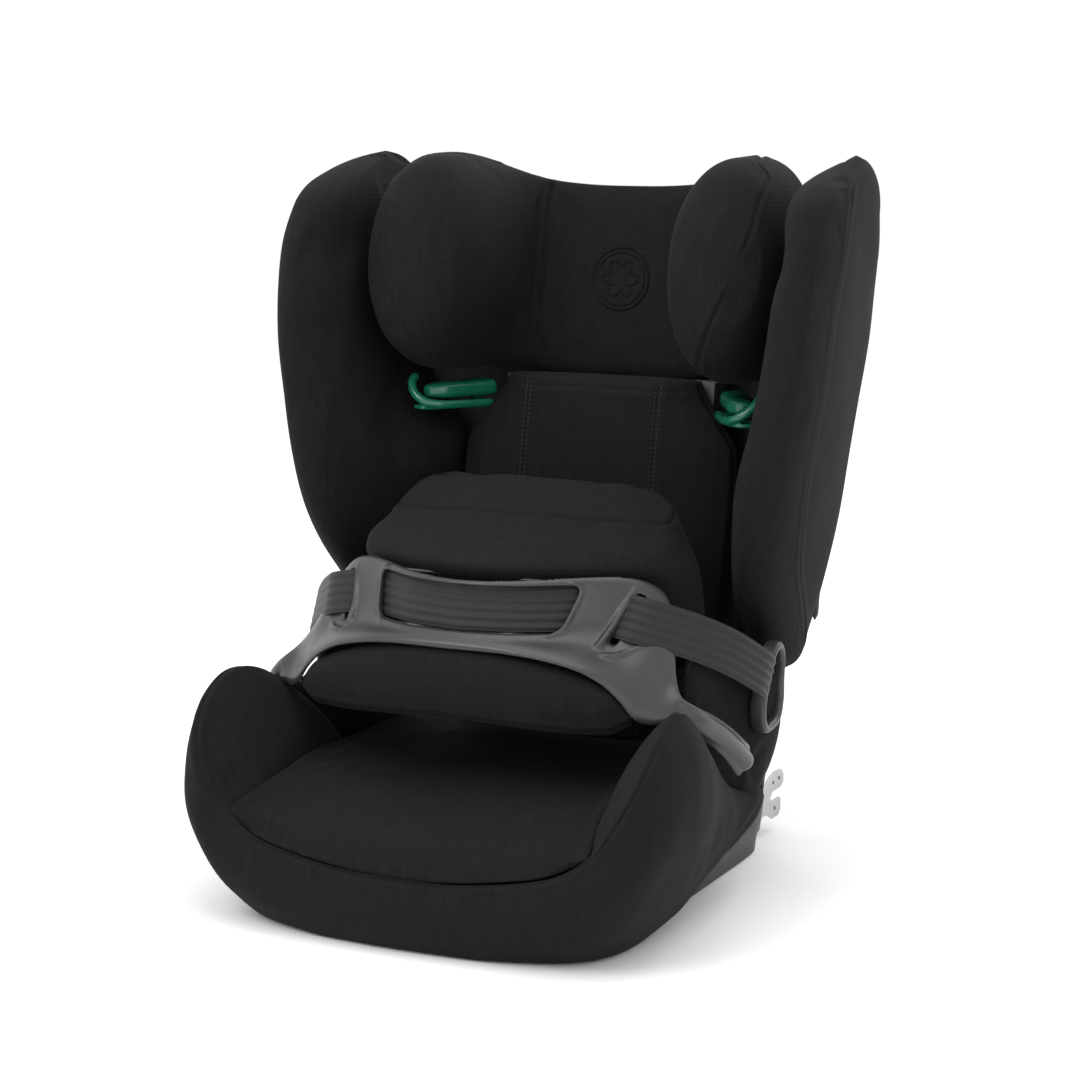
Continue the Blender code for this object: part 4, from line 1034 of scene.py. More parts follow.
def headRing(inner, outer, low, high, power):
    middle = (np.array(inner) + np.array(outer)) / 2
    half = (np.array(inner) - np.array(outer)) / 2
    ring = []
    for c, s in turns(28):
        z = (low + high) / 2 + (high - low) / 2 * squarer(s, 2 / power)
        x, y = middle + half * squarer(c, 2 / power)
        ring.append((x, y + headLean(z), z))
    return ring


def makeHeadCover():
    table = headCover["stations"]
    full = [((-i[0], i[1]), (-o[0], o[1]), *rest) for i, o, *rest in table[:0:-1]] + list(table)
    rings = [headRing(*row) for row in full]
    pad = loft("head_cover", rings, headCover["step"], poleOut=(headCover["tip"], headCover["tip"]))
    # seams: the rim of each wing, and the two upright seams of the middle panel
    seams = []
    for side in (-1, 1):
        face = onSurface(pad, [(side * x, -0.02, z) for x, z in headCover["rim"]], (0, 1, 0))
        ridge = onSurface(pad, [(side * x, y, 0.70) for x, y in headCover["ridge"]], (0, 0, -1))
        seams.append(ridge + face)
    uprights = [[(side * (0.080 - 0.012 * max(0, (0.462 - z) / 0.02) ** 2), 0.1978 + headLean(z), z)
                 for z in (0.448, 0.462, 0.49, 0.52, 0.55, 0.58, 0.602)] for side in (-1, 1)]
    held = holdNear(pad, seams + uprights, 0.006,
                    lambda co: (np.abs(co[:, 0]) < 0.16) & (co[:, 1] > 0.2115 + headLean(co[:, 2])))
    puffed(pad, headCover["puff"], held)
    subdivided(pad)
    for seam in seams:
        sewSeam(pad, seam, 0.0018, 0.0014, 0.0009)
    for upright in uprights:
        sewSeam(pad, onSurface(pad, upright, (0, 1, 0)), 0.0020, 0.0015, 0.0009)
    embossBadge(pad)
    smoothShade(pad)
    finishPiece(pad, cover, "headrest",
                ("head_pad_center", "head_wing_pad_left", "head_wing_pad_right"))
    print("head cover", len(pad.data.polygons))


badge = {"centre": (0.0, 0.517), "ring": 0.0285, "inner": 0.0245, "petals": 6}


def embossBadge(pad):
    # plain round badge: two raised rings and a six-petal pattern pressed into the middle panel
    bm = bmesh.new()
    bm.from_mesh(pad.data)
    reach = badge["ring"] + 0.006
    near = [e for e in bm.edges if all(
        math.hypot(v.co.x - badge["centre"][0], v.co.z - badge["centre"][1]) < reach
        and v.co.y < 0.2085 + headLean(v.co.z) for v in e.verts)]
    bmesh.ops.subdivide_edges(bm, edges=near, cuts=2, use_grid_fill=True)
    bm.to_mesh(pad.data)
    bm.free()
    pad.data.update()
    co = coords(pad)
    dx, dz = co[:, 0] - badge["centre"][0], co[:, 2] - badge["centre"][1]
    far = np.hypot(dx, dz)
    turn = np.arctan2(dz, dx)
    front = co[:, 1] < 0.2085 + headLean(co[:, 2])
    lift = -0.0021 * np.exp(-((far - badge["ring"]) / 0.0011) ** 2)
    lift -= 0.0018 * np.exp(-((far - badge["inner"]) / 0.0010) ** 2)
    petal = 0.0095 + 0.0085 * np.abs(np.cos(turn * badge["petals"] / 2))
    lift -= 0.0017 * np.exp(-((far - petal) / 0.0011) ** 2)
    lift += 0.0009 * (far < badge["ring"])
    pushOut(pad, lift * front)


# Impact shield

def bow(x):
    return 3.0 * x * x


shieldTop = {
    "step": 0.0042,
    "puff": 0.004,
    # z, half width, front y and rear y on the middle plane
    "stations": (
        (0.1965, 0.142, -0.078, 0.034),
        (0.2040, 0.156, -0.086, 0.044),
        (0.2400, 0.159, -0.092, 0.046),
        (0.2760, 0.156, -0.101, 0.045),
        (0.2900, 0.152, -0.110, 0.0445),
        (0.2975, 0.1485, -0.111, 0.044),
        (0.3060, 0.1440, -0.095, 0.0435),
        (0.3180, 0.1385, -0.066, 0.041),
        (0.3310, 0.1310, -0.041, 0.037),
        (0.3430, 0.1200, -0.020, 0.030),
        (0.3520, 0.0960, -0.003, 0.022),
        (0.3560, 0.0600, 0.006, 0.015),
    ),
    # right half of the seam under the crown, from the rear to the middle
    "seam": ((0.131, 0.020, 0.331), (0.1325, -0.004, 0.333), (0.122, -0.018, 0.3335), (0.090, -0.029, 0.3325),
             (0.045, -0.0375, 0.3315), (0, -0.0405, 0.331)),
}


def makeShieldTop():
    rings = []
    for z, half, front, rear in shieldTop["stations"]:
        sideY = min(front + bow(half) * (1.0 if z < 0.30 else 0.80), rear - 0.006)
        depth = sideY - front
        ring = [(0, front), (half * 0.30, front + depth * 0.11), (half * 0.58, front + depth * 0.42),
                (half * 0.82, front + depth * 0.78), (half * 0.95, sideY + 0.004),
                (half, sideY + (rear - sideY) * 0.5),
                (half * 0.93, rear - 0.005), (half * 0.5, rear), (0, rear)]
        rings.append([(x, y, z) for x, y in bothSides(ring)])
    pad = loft("shield_top_pad", rings, shieldTop["step"], poleOut=(0.0, 0.0008))
    half = list(shieldTop["seam"])
    seam = mirrored(half[:-1]) + half[::-1]
    held = holdNear(pad, [seam], 0.006, lambda co: co[:, 2] < 0.290)
    puffed(pad, shieldTop["puff"], held)
    subdivided(pad)
    pushOut(pad, noiseField(coords(pad), 0.10, 41) * 0.0007)
    sewSeam(pad, onSurface(pad, seam, (0, 0.75, -0.66)), 0.0016, 0.0015, 0.0008)
    smoothShade(pad)
    finishPiece(pad, cover, "shield", ("shield_pad_upper",))
    print("shield top pad", len(pad.data.polygons))


# both hang on the frame's curve; blunt and end shape their tips, corner squares the section
shieldLow = {
    "step": 0.0038, "puff": 0.004, "rings": 19, "points": 16, "reach": 0.1585, "blunt": 2.8, "end": 0.05,
    "front": -0.1455, "bow": 0.26, "height": 0.2035, "droop": 0.0190, "deep": 0.0215, "tall": 0.0305,
    "corner": 0.85,
}
shieldUnder = {
    "step": 0.005, "rings": 15, "points": 14, "reach": 0.138, "blunt": 3.0, "end": 0.06,
    "front": -0.092, "bow": 0.55, "height": 0.1880, "droop": 0.004, "deep": 0.032, "tall": 0.0165,
    "corner": 0.8,
}


def roundPad(name, pad):
    # a plump pad that bows with the frame; gives its control rings too
    rings = []
    for k in range(pad["rings"]):
        t = -1 + 2 * k / (pad["rings"] - 1)
        x = pad["reach"] * (t if abs(t) < 1 else t * 0.998)
        fat = max(0.0, 1 - abs(t) ** pad["blunt"]) ** 0.5 * (1 - pad["end"]) + pad["end"]
        y = pad["front"] + bow(x) * pad["bow"]
        z = pad["height"] - pad["droop"] * t * t
        deep, tall = pad["deep"] * fat, pad["tall"] * fat
        rings.append([(x, y + deep * squarer(c, pad["corner"]), z + tall * squarer(s, 0.9))
                      for c, s in turns(pad["points"])])
    return loft(name, rings, pad["step"], poleOut=(0.001, 0.001)), rings


def makeShieldLow():
    pad, rings = roundPad("shield_low_pad", shieldLow)
    seam = [np.array(ring[10]) * 0.5 + np.array(ring[11]) * 0.5 for ring in rings]
    held = holdNear(pad, [seam], 0.006, lambda co: co[:, 1] > -0.140 + bow(co[:, 0]) * 0.26)
    puffed(pad, shieldLow["puff"], held, 3.0)
    subdivided(pad)
    sewSeam(pad, seam, 0.0017, 0.0014, 0.0012)
    smoothShade(pad)
    finishPiece(pad, cover, "shield", ("shield_pad_lower",))
    # the belly pad that hangs below and behind it
    pad, rings = roundPad("shield_under_pad", shieldUnder)
    subdivided(pad)
    sewSeam(pad, [ring[8] for ring in rings], 0.0018, 0.0015, 0.0010)
    smoothShade(pad)
    finishPiece(pad, cover, "shield", ("shield_core",))
    print("shield low pads")


shieldFrame = {
    "thick": 0.0046,
    "voxel": 0.0013,
    # bottom edge, ledge, top edge
    "stations": (
        ((0.0000, -0.1590, 0.2355), (0.0000, -0.1450, 0.2470), (0.0000, -0.1290, 0.2885)),
        ((0.0450, -0.1570, 0.2355), (0.0450, -0.1380, 0.2470), (0.0460, -0.1190, 0.2895)),
        ((0.0750, -0.1540, 0.2335), (0.0750, -0.1230, 0.2465), (0.0760, -0.1010, 0.2905)),
        ((0.1000, -0.1500, 0.2290), (0.0990, -0.1080, 0.2450), (0.1000, -0.0825, 0.2910)),
        ((0.1200, -0.1455, 0.2225), (0.1190, -0.0990, 0.2420), (0.1220, -0.0685, 0.2905)),
        ((0.1370, -0.1405, 0.2120), (0.1380, -0.0950, 0.2380), (0.1400, -0.0580, 0.2860)),
        ((0.1500, -0.1370, 0.1990), (0.1530, -0.0960, 0.2300), (0.1545, -0.0500, 0.2740)),
        ((0.1605, -0.1330, 0.1850), (0.1640, -0.1000, 0.2150), (0.1680, -0.0650, 0.2370)),
        ((0.1700, -0.1260, 0.1800), (0.1740, -0.1060, 0.1990), (0.1790, -0.0870, 0.2120)),
        ((0.1830, -0.1150, 0.1790), (0.1865, -0.1080, 0.1900), (0.1900, -0.1010, 0.2000)),
        ((0.1960, -0.0990, 0.1690), (0.1985, -0.0975, 0.1805), (0.2010, -0.0950, 0.1920)),
        ((0.2030, -0.0770, 0.1560), (0.2050, -0.0740, 0.1680), (0.2065, -0.0700, 0.1800)),
        ((0.2080, -0.0500, 0.1370), (0.2095, -0.0455, 0.1500), (0.2105, -0.0400, 0.1630)),
        ((0.2110, -0.0270, 0.1170), (0.2120, -0.0180, 0.1300), (0.2130, -0.0080, 0.1420)),
    ),
    "arm": ((0.1840, -0.1040, 0.1890), (0.1975, -0.0970, 0.1805), (0.2040, -0.0740, 0.1680),
            (0.2085, -0.0455, 0.1500), (0.2110, -0.0180, 0.1300), (0.2115, -0.0110, 0.1245)),
    # half width at the bottom and the top, lower and upper height, corner radius
    "window": (0.0860, 0.0955, 0.2470, 0.2840, 0.0085),
}


def frameGrid(stationList, rowShape):
    rows = [mirrored(row) for row in stationList[:0:-1]] + list(stationList)
    curves = [stretchBy(row, (12, 20)) for row in rows]
    rings = []
    for i, curve in enumerate(curves):
        before, after = curves[max(i - 1, 0)], curves[min(i + 1, len(rows) - 1)]
        ring = []
        for v, out in rowShape:
            at = v * (len(curve) - 1)
            k = min(int(at), len(curve) - 2)
            spot = curve[k] + (curve[k + 1] - curve[k]) * (at - k)
            normal = np.cross(after[k] - before[k], curve[min(k + 2, len(curve) - 1)] - curve[max(k - 1, 0)])
            normal /= np.linalg.norm(normal)
            ring.append(spot + normal * out)
        rings.append(ring)
    return rings


def addPrism(bm, near, far):
    # closes two matching outlines into a solid
    a = [bm.verts.new(p) for p in near]
    b = [bm.verts.new(p) for p in far]
    bm.faces.new(a)
    bm.faces.new(b[::-1])
    for i in range(len(a)):
        j = (i + 1) % len(a)
        bm.faces.new((a[j], a[i], b[i], b[j]))


def cutterBox(name, outline, near, far):
    # upright prism from front to back, its outline given as (x, z)
    bm = bmesh.new()
    addPrism(bm, [(x, near, z) for x, z in outline], [(x, far, z) for x, z in outline])
    bmesh.ops.recalc_face_normals(bm, faces=bm.faces)
    return meshObject(name, bm)


def roundedOutline(x0, z0, x1, z1, radius, steps=8):
    # rectangle with round corners
    points = []
    for cx, cz, turn in ((x1 - radius, z1 - radius, 0), (x0 + radius, z1 - radius, 90),
                         (x0 + radius, z0 + radius, 180), (x1 - radius, z0 + radius, 270)):
        for k in range(steps + 1):
            angle = math.radians(turn + 90 * k / steps)
            points.append((cx + radius * math.cos(angle), cz + radius * math.sin(angle)))
    return points


def cutAway(obj, cutters):
    for cutter in cutters:
        modifier = obj.modifiers.new("cut", "BOOLEAN")
        modifier.operation = "DIFFERENCE"
        modifier.solver = "EXACT"
        modifier.object = cutter
    applied(obj)
    for cutter in cutters:
        bpy.data.objects.remove(cutter, do_unlink=True)
    return obj


def tubeAlong(name, path, radius, closed=False, sidesCount=10):
    # round bar along a path
    line = curveThrough(path, max(30, 10 * len(path)), closed)
    rings = []
    n = len(line)
    up = np.array((0.3, 0.2, 1.0))    # never along the bar
    gone = np.concatenate([[0], np.cumsum(np.linalg.norm(np.diff(line, axis=0), axis=1))])
    for k, p in enumerate(line):
        fromEnd = radius if closed else min(gone[k], gone[-1] - gone[k], radius)
        wide = radius * max(0.12, (1 - (1 - fromEnd / radius) ** 2) ** 0.5)
        ahead = line[(k + 1) % n] if closed or k < n - 1 else p
        behind = line[k - 1] if closed or k > 0 else p
        run = ahead - behind
        run /= np.linalg.norm(run)
        a = np.cross(run, up)
        a /= np.linalg.norm(a)
        b = np.cross(run, a)
        rings.append([p + wide * (a * math.cos(t) + b * math.sin(t))
                      for t in np.linspace(0, 2 * math.pi, sidesCount, endpoint=False)])
    if closed:
        rings.append(rings[0])
    return gridMesh(name, np.array(rings), not closed)


def fused(name, parts, voxel, smoothing):
    # joins solids, and rounds where they meet by remeshing the whole
    bm = bmesh.new()
    for part in parts:
        bm.from_mesh(part.data)
        bpy.data.objects.remove(part, do_unlink=True)
    obj = meshObject(name, bm)
    remesh = obj.modifiers.new("fuse", "REMESH")
    remesh.mode = "VOXEL"
    remesh.voxel_size = voxel
    ease = obj.modifiers.new("ease", "SMOOTH")
    ease.factor = 0.5
    ease.iterations = smoothing
    applied(obj)
    return smoothShade(obj)


def frameSurface(x, z):
    # depth of the frame's front face near a point, read from its stations
    rows = shieldFrame["stations"]
    xs = [row[1][0] for row in rows]
    low, mid, high = (np.array([np.interp(abs(x), xs, [row[k][j] for row in rows]) for j in range(3)])
                      for k in range(3))
    return float(np.interp(z, (low[2], mid[2], high[2]), (low[1], mid[1], high[1])))


def windowOutline(grow=0.0):
    low, high, z0, z1, corner = shieldFrame["window"]
    ring = roundedOutline(-high - grow, z0 - grow, high + grow, z1 + grow, corner + grow, 6)
    return [(x * (1 - (1 - low / high) * (z1 - z) / (z1 - z0)), z) for x, z in ring]


def makeShieldFrame():
    t = shieldFrame["thick"]
    crown = [(0.0, -0.0010), (0.035, 0.0010), (0.10, 0.0022), (0.30, 0.0026), (0.50, 0.0032), (0.72, 0.0032),
             (0.90, 0.0022), (0.965, 0.0010), (1.0, -0.0010),
             (0.99, -0.6 * t), (0.93, 0.0012 - t), (0.72, 0.0022 - t), (0.5, 0.0024 - t), (0.30, 0.0020 - t),
             (0.09, 0.0012 - t), (0.01, -0.6 * t)]
    shell = loft("frame_shell", frameGrid(shieldFrame["stations"], crown), 0.0040, poleOut=(0.002, 0.002))
    window = cutterBox("window", windowOutline(), -0.30, -0.02)
    slots = []
    for side in (-1, 1):
        outline = [(0.1225, 0.2400), (0.1290, 0.2370), (0.1425, 0.2740), (0.1355, 0.2770)]
        slots.append(cutterBox("slot", [(side * x, z) for x, z in outline], -0.20, -0.02))
    cutAway(shell, [window] + slots)
    parts = [shell]
    # rolled lip round the window
    lip = [(x, frameSurface(x, z) - 0.0030, z) for x, z in windowOutline(0.0016)]
    parts.append(tubeAlong("lip", lip, 0.0022, True))
    for side in (-1, 1):
        # raised saddle on both sides of the strap's slot
        rim = [(side * x, frameSurface(x, z) - 0.0022, z) for x, z in
               ((0.1180, 0.2370), (0.1230, 0.2520), (0.1285, 0.2680), (0.1335, 0.2810))]
        parts.append(tubeAlong("rim", rim, 0.0030))
        hollow = [(side * x, frameSurface(x, z) - 0.0022, z) for x, z in
                  ((0.1240, 0.2325), (0.1330, 0.2315), (0.1420, 0.2340), (0.1500, 0.2380))]
        parts.append(tubeAlong("hollow", hollow, 0.0026))
        # rounded end of the arm
        arm = [(side * x, y, z) for x, y, z in shieldFrame["arm"]]
        parts.append(tubeAlong("arm", arm, 0.0098, sidesCount=16))
    body = fused("shield_frame_moulding", parts, shieldFrame["voxel"], 9)
    finishPiece(body, greySatin, "shield", ("shield_frame",))
    print("shield frame", len(body.data.polygons))


# Webbing

def ribbon(name, path, wides, width):
    # flat ribbed strap along a path: a direction across it is given at each point
    path = np.array(path, float)
    wides = np.array(wides, float)
    length = np.linalg.norm(np.diff(path, axis=0), axis=1).sum()
    count = max(12, int(length / 0.0022))
    line, wide = (evenly(stretchBy(row, [24] * (len(row) - 1)), count) for row in (path, wides))
    across = 41
    thick = webbing["thick"]
    top, bottom = [], []
    for k in range(count):
        run = line[min(k + 1, count - 1)] - line[max(k - 1, 0)]
        run /= np.linalg.norm(run)
        w = wide[k] - run * (wide[k] @ run)
        w /= np.linalg.norm(w)
        face = np.cross(run, w)
        t, b = [], []
        for j in range(across):
            v = -1 + 2 * j / (across - 1)
            rib = webbing["ribHeight"] * math.cos(v * math.pi * webbing["ribs"]) * (abs(v) < 0.96)
            edge = 1 - max(0.0, abs(v) - 0.93) / 0.07 * 0.45
            t.append(line[k] + w * v * width / 2 + face * (thick / 2 * edge + rib))
            b.append(line[k] + w * v * width / 2 - face * (thick / 2 * edge + rib * 0.6))
        top.append(t)
        bottom.append(b)
    grid = np.concatenate([np.array(top), np.array(bottom)[:, ::-1]], axis=1)
    return smoothShade(gridMesh(name, grid), 60)


shieldBelt = {
    # points of the right end from the frame to its guide, and the direction across the strap at each
    "endPath": ((0.1210, -0.0800, 0.2610), (0.1285, -0.0840, 0.2600), (0.1400, -0.0880, 0.2590),
                (0.1530, -0.0840, 0.2555), (0.1660, -0.0720, 0.2495), (0.1800, -0.0570, 0.2420),
                (0.1940, -0.0400, 0.2325), (0.2060, -0.0220, 0.2215), (0.2150, -0.0040, 0.2095),
                (0.2200, 0.0100, 0.2005), (0.2195, 0.0220, 0.1930), (0.2120, 0.0300, 0.1875),
                (0.2030, 0.0340, 0.1850)),
    "endWide": ((0.20, 0.50, 0.84), (0.20, 0.52, 0.83), (0.14, 0.54, 0.83), (0.08, 0.52, 0.85),
                (0.04, 0.50, 0.86), (0.02, 0.50, 0.86), (0.00, 0.52, 0.85), (0.00, 0.55, 0.83),
                (0.00, 0.58, 0.81), (0.00, 0.60, 0.80), (0.00, 0.60, 0.80), (0.00, 0.60, 0.80),
                (0.00, 0.60, 0.80)),
}


def makeBelts():
    path, wides = [], []
    for k in range(15):
        x = -0.124 + 0.248 * k / 14
        path.append((x, frameSurface(x, 0.2655) + 0.0060, 0.2650))
        wides.append((0, 0.38, 0.92))
    front = ribbon("belt_window", path, wides, 0.0380)
    finishPiece(front, webbingLook, "shield", ("strap_front",))
    for name, side in sides:
        path, wides = ([(side * x, y, z) for x, y, z in shieldBelt[key]] for key in ("endPath", "endWide"))
        end = ribbon("belt_end_" + name, path, wides, webbing["width"])
        dress(end, webbingLook)
        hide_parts("strap_" + name)
        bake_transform(end)
    print("belts")


strapGuide = {
    "outline": ((0.0060, 0.158), (0.0065, 0.176), (0.018, 0.200), (0.034, 0.219), (0.047, 0.2225),
                (0.0555, 0.213), (0.0560, 0.190), (0.0550, 0.168), (0.046, 0.151), (0.030, 0.1465),
                (0.014, 0.1470)),
    "bar": 0.0042,
}


def makeStrapGuides():
    for name, side in sides:
        outer = curveThrough([(0, y, z) for y, z in strapGuide["outline"]], 48, True)
        middle = outer.mean(axis=0)
        rings = []
        for p in outer:
            inward = (middle - p) / np.linalg.norm(middle - p)
            ring = []
            for c, s in turns(14):
                spot = p + inward * (strapGuide["bar"] * (1 + squarer(c, 0.8)))
                ring.append((side * (0.2065 + 0.0150 * (squarer(s, 0.6) * 0.5 + 0.5)), spot[1], spot[2]))
            rings.append(ring)
        rings.append(rings[0])
        bezel = gridMesh("strap_guide_ring_" + name, np.array(rings), False)
        # slanted bar behind the ring
        bar = tubeAlong("bar", [(side * 0.2135, 0.0110, 0.1580), (side * 0.2150, 0.0240, 0.1830),
                                (side * 0.2135, 0.0390, 0.2110)], 0.0030)
        body = fused("strap_guide_body_" + name, [bezel, bar], 0.0011, 3)
        finishPiece(body, greySatin, "base", ("strap_guide_" + name,))
    print("strap guides")


beltHook = {"inner": (0.127, 0.171), "outer": (0.166, 0.098)}


def makeBeltHooks():
    # two-layer green hook for the shoulder belt under each head wing: a blade over a tray with a raised rim
    inner, outer = np.array(beltHook["inner"]), np.array(beltHook["outer"])
    run = outer - inner
    length = np.linalg.norm(run)
    run /= length
    across = np.array((-run[1], run[0]))

    def spot(side, s, out, z):
        p = inner + run * s + across * out
        return (side * p[0], p[1], z)

    def blade(side, reach, near, far, low, high):
        rings = []
        for k in range(11):
            s = reach * k / 10
            fat = 1.0 - 0.55 * max(0, (k - 7) / 3) ** 2
            ring = []
            for c, q in turns(20):
                out = (near + far) / 2 + (far - near) / 2 * fat * squarer(c, 0.6)
                up = (low + high) / 2 + (high - low) / 2 * (0.4 + 0.6 * fat) * squarer(q, 0.7)
                ring.append(spot(side, s, out, up))
            rings.append(ring)
        return loft("blade", rings, 0.002, poleOut=(0.0005, 0.0015))

    for name, side in sides:
        parts = [blade(side, length - 0.012, -0.0155, 0.0110, 0.4065, 0.4225),
                 blade(side, length - 0.002, -0.0185, 0.0150, 0.3970, 0.4030)]
        rim = [spot(side, 0.006, -0.0175, 0.4010), spot(side, length * 0.55, -0.0180, 0.4020),
               spot(side, length - 0.016, -0.0160, 0.4030), spot(side, length - 0.0045, -0.0095, 0.4060),
               spot(side, length - 0.0005, 0.0010, 0.4130), spot(side, length - 0.0040, 0.0105, 0.4230),
               spot(side, length - 0.0120, 0.0135, 0.4290)]
        parts.append(tubeAlong("rim", rim, 0.0042))
        post = [spot(side, 0.010, 0.004, 0.4010), spot(side, 0.011, 0.004, 0.4100),
                spot(side, 0.012, 0.003, 0.4190)]
        parts.append(tubeAlong("post", post, 0.0062))
        hook = fused("belt_hook_" + name, parts, 0.0009, 4)
        finishPiece(hook, greenPlastic, "headrest", ("belt_guide_" + name,))
    print("belt hooks")


# Latch arms at the rear of the base

latch = {"x": 0.140, "z": 0.034, "cheek": 0.0026, "gap": 0.0089, "rivet": 0.0036}


def latchOutline():
    z = latch["z"]
    return [(-0.030, z - 0.0135), (0.190, z - 0.0135), (0.204, z - 0.0160), (0.214, z - 0.0215),
            (0.2300, z - 0.0220), (0.2360, z - 0.0170), (0.2360, z - 0.0070), (0.2330, z - 0.0045),
            (0.2140, z - 0.0045), (0.2080, z), (0.2140, z + 0.0045), (0.2360, z + 0.0045),
            (0.2430, z + 0.0085), (0.2430, z + 0.0160), (0.2380, z + 0.0215), (0.2220, z + 0.0230),
            (0.2080, z + 0.0205), (0.1960, z + 0.0145), (-0.030, z + 0.0135)]


def makeLatches():
    for name, side in sides:
        x = side * latch["x"]
        bm = bmesh.new()
        for sign in (-1, 1):
            near = x + sign * latch["gap"]
            far = near + sign * latch["cheek"]
            addPrism(bm, [(near, y, z) for y, z in latchOutline()], [(far, y, z) for y, z in latchOutline()])
        # web that joins the cheeks
        size = Vector((2 * latch["gap"], 0.180, 0.029))
        web = Matrix.LocRotScale(Vector((x, 0.060, latch["z"])), None, size)
        bmesh.ops.create_cube(bm, size=1, matrix=web)
        bmesh.ops.recalc_face_normals(bm, faces=bm.faces)
        arm = bevelled(meshObject("latch_arm_" + name, bm), 0.0006)
        smoothShade(arm, 35)
        finishPiece(arm, zincSteel, "isofix_carriage", ("isofix_arm_" + name,))
        rivets = []
        for y, up in ((0.2150, 0.0135), (0.2310, 0.0145), (0.2200, -0.0125)):
            for sign in (-1, 1):
                rivets.append((x + sign * (latch["gap"] + latch["cheek"]), y, latch["z"] + up))
        heads = fromNodes("latch_rivets_" + name, rivets, [], rivetGroup,
                          {"radius": latch["rivet"] * 0.5, "look": blackPlastic})
        finishPiece(heads, blackPlastic, "isofix_carriage")
    print("latches")


def rivetTree():
    tree, keys = nodeGroup("rivet_heads", (("radius", "Head Radius", "Float"), ("look", "Look", "Material")))
    nodes = instanceNodes(tree)
    nodes["scale"].inputs[1].default_value = 0.28
    nodes["spots"] = tree.nodes.new("GeometryNodeMeshToPoints")
    nodes["dome"] = addNode(tree, "GeometryNodeMeshUVSphere", Segments=20, Rings=10, Radius=1.0)
    wired(tree, nodes, (
        ("start", "Geometry", "spots", "Mesh"),
        ("spots", "Points", "points", "Points"),
        ("dome", "Mesh", "points", "Instance"),
        ("start", "Head Radius", "scale", 0),
        ("scale", "Value", "size", "X"),
        ("start", "Head Radius", "size", "Y"),
        ("start", "Head Radius", "size", "Z"),
        ("size", "Vector", "points", "Scale"),
        *instanceEnd,
    ))
    return tree, keys


rivetGroup = rivetTree()


# Rear shell of the backrest

rearShell = {
    "step": 0.0075,
    "half": ((0.106, 0.135), (0.150, 0.162), (0.193, 0.192), (0.240, 0.206), (0.404, 0.228), (0.554, 0.238),
             (0.620, 0.234)),
    "heights": (0.106, 0.120, 0.150, 0.200, 0.260, 0.340, 0.420, 0.500, 0.560, 0.590, 0.602),
}


def shellPlan(x, z):
    near = min(1.0, max(0.0, (abs(x) - 0.135) / 0.090)) ** 1.7
    return backFront(z) + 0.094 + (0.0575 - 0.094) * near


def makeRearShell():
    # two sheets, front and back, joined into one skin
    sheets = []
    for depth in (0.0, 0.0042):
        sheet = []
        for z in rearShell["heights"]:
            half = stations(rearShell["half"], z) * (1.0 if z < 0.602 else 0.94)
            row = []
            for k in range(33):
                c = -1 + 2 * k / 32
                dip = 0.0
                if z > 0.555:
                    dip = 0.045 * max(0.0, 1 - abs(c) / 0.6) ** 2 * (z - 0.555) / 0.047
                x, high = half * c, z - dip
                row.append((x, shellPlan(x, high) + depth, high))
            sheet.append(row)
        sheets.append(sheet)
    rings = np.array([front + back[::-1] for front, back in zip(*sheets)])
    grid = filledRows(rings, rings, rearShell["step"])
    shell = gridMesh("rear_shell", grid, False)
    bm = bmesh.new()
    bm.from_mesh(shell.data)
    bm.verts.ensure_lookup_table()
    rowsCount = grid.shape[0]
    for r in (0, rowsCount - 1):
        for c in range(32):
            ids = (r * 66 + c, r * 66 + c + 1, r * 66 + 64 - c, r * 66 + 65 - c)
            bm.faces.new([bm.verts[i] for i in ids])
    bmesh.ops.recalc_face_normals(bm, faces=bm.faces)
    bm.to_mesh(shell.data)
    bm.free()
    window = cutterBox("window", roundedOutline(-0.030, 0.300, 0.030, 0.470, 0.012), 0.10, 0.40)
    cutAway(shell, [window])
    bevelled(shell, 0.0012, 50)
    smoothShade(shell, 40)
    finishPiece(shell, blackPlastic, "backrest", ("back_shell",))
    # ribs that stiffen the rear shell
    ribs = []
    for x in (-0.205, -0.160, -0.048, 0.048, 0.160, 0.205):
        top = 0.555 if abs(x) > 0.1 else 0.545
        line = [(x, shellPlan(x, z) + 0.0050, z) for z in (0.215, 0.30, 0.40, 0.50, top)]
        ribs.append(tubeAlong("rib", line, 0.0034, sidesCount=8))
    joined = fused("rear_shell_ribs", ribs, 0.0014, 2)
    finishPiece(joined, blackPlastic, "backrest")
    print("rear shell")


baseTray = {"half": 0.170, "front": 0.236, "rear": 0.178, "high": 0.078, "wall": 0.004, "count": 160}


def trayOutline(z, grow):
    # round at the front, nearly square at the rear
    flare = z / baseTray["high"]
    half = baseTray["half"] - 0.007 * (1 - flare) + grow
    front = baseTray["front"] - 0.012 * (1 - flare) + grow
    rear = baseTray["rear"] - 0.012 * (1 - flare) + grow
    ring = []
    for c, s in turns(baseTray["count"]):
        power = 2 / 2.9 if s < 0 else 2 / 12.0
        ring.append((half * squarer(c, power), (front if s < 0 else rear) * squarer(s, power), z))
    return ring


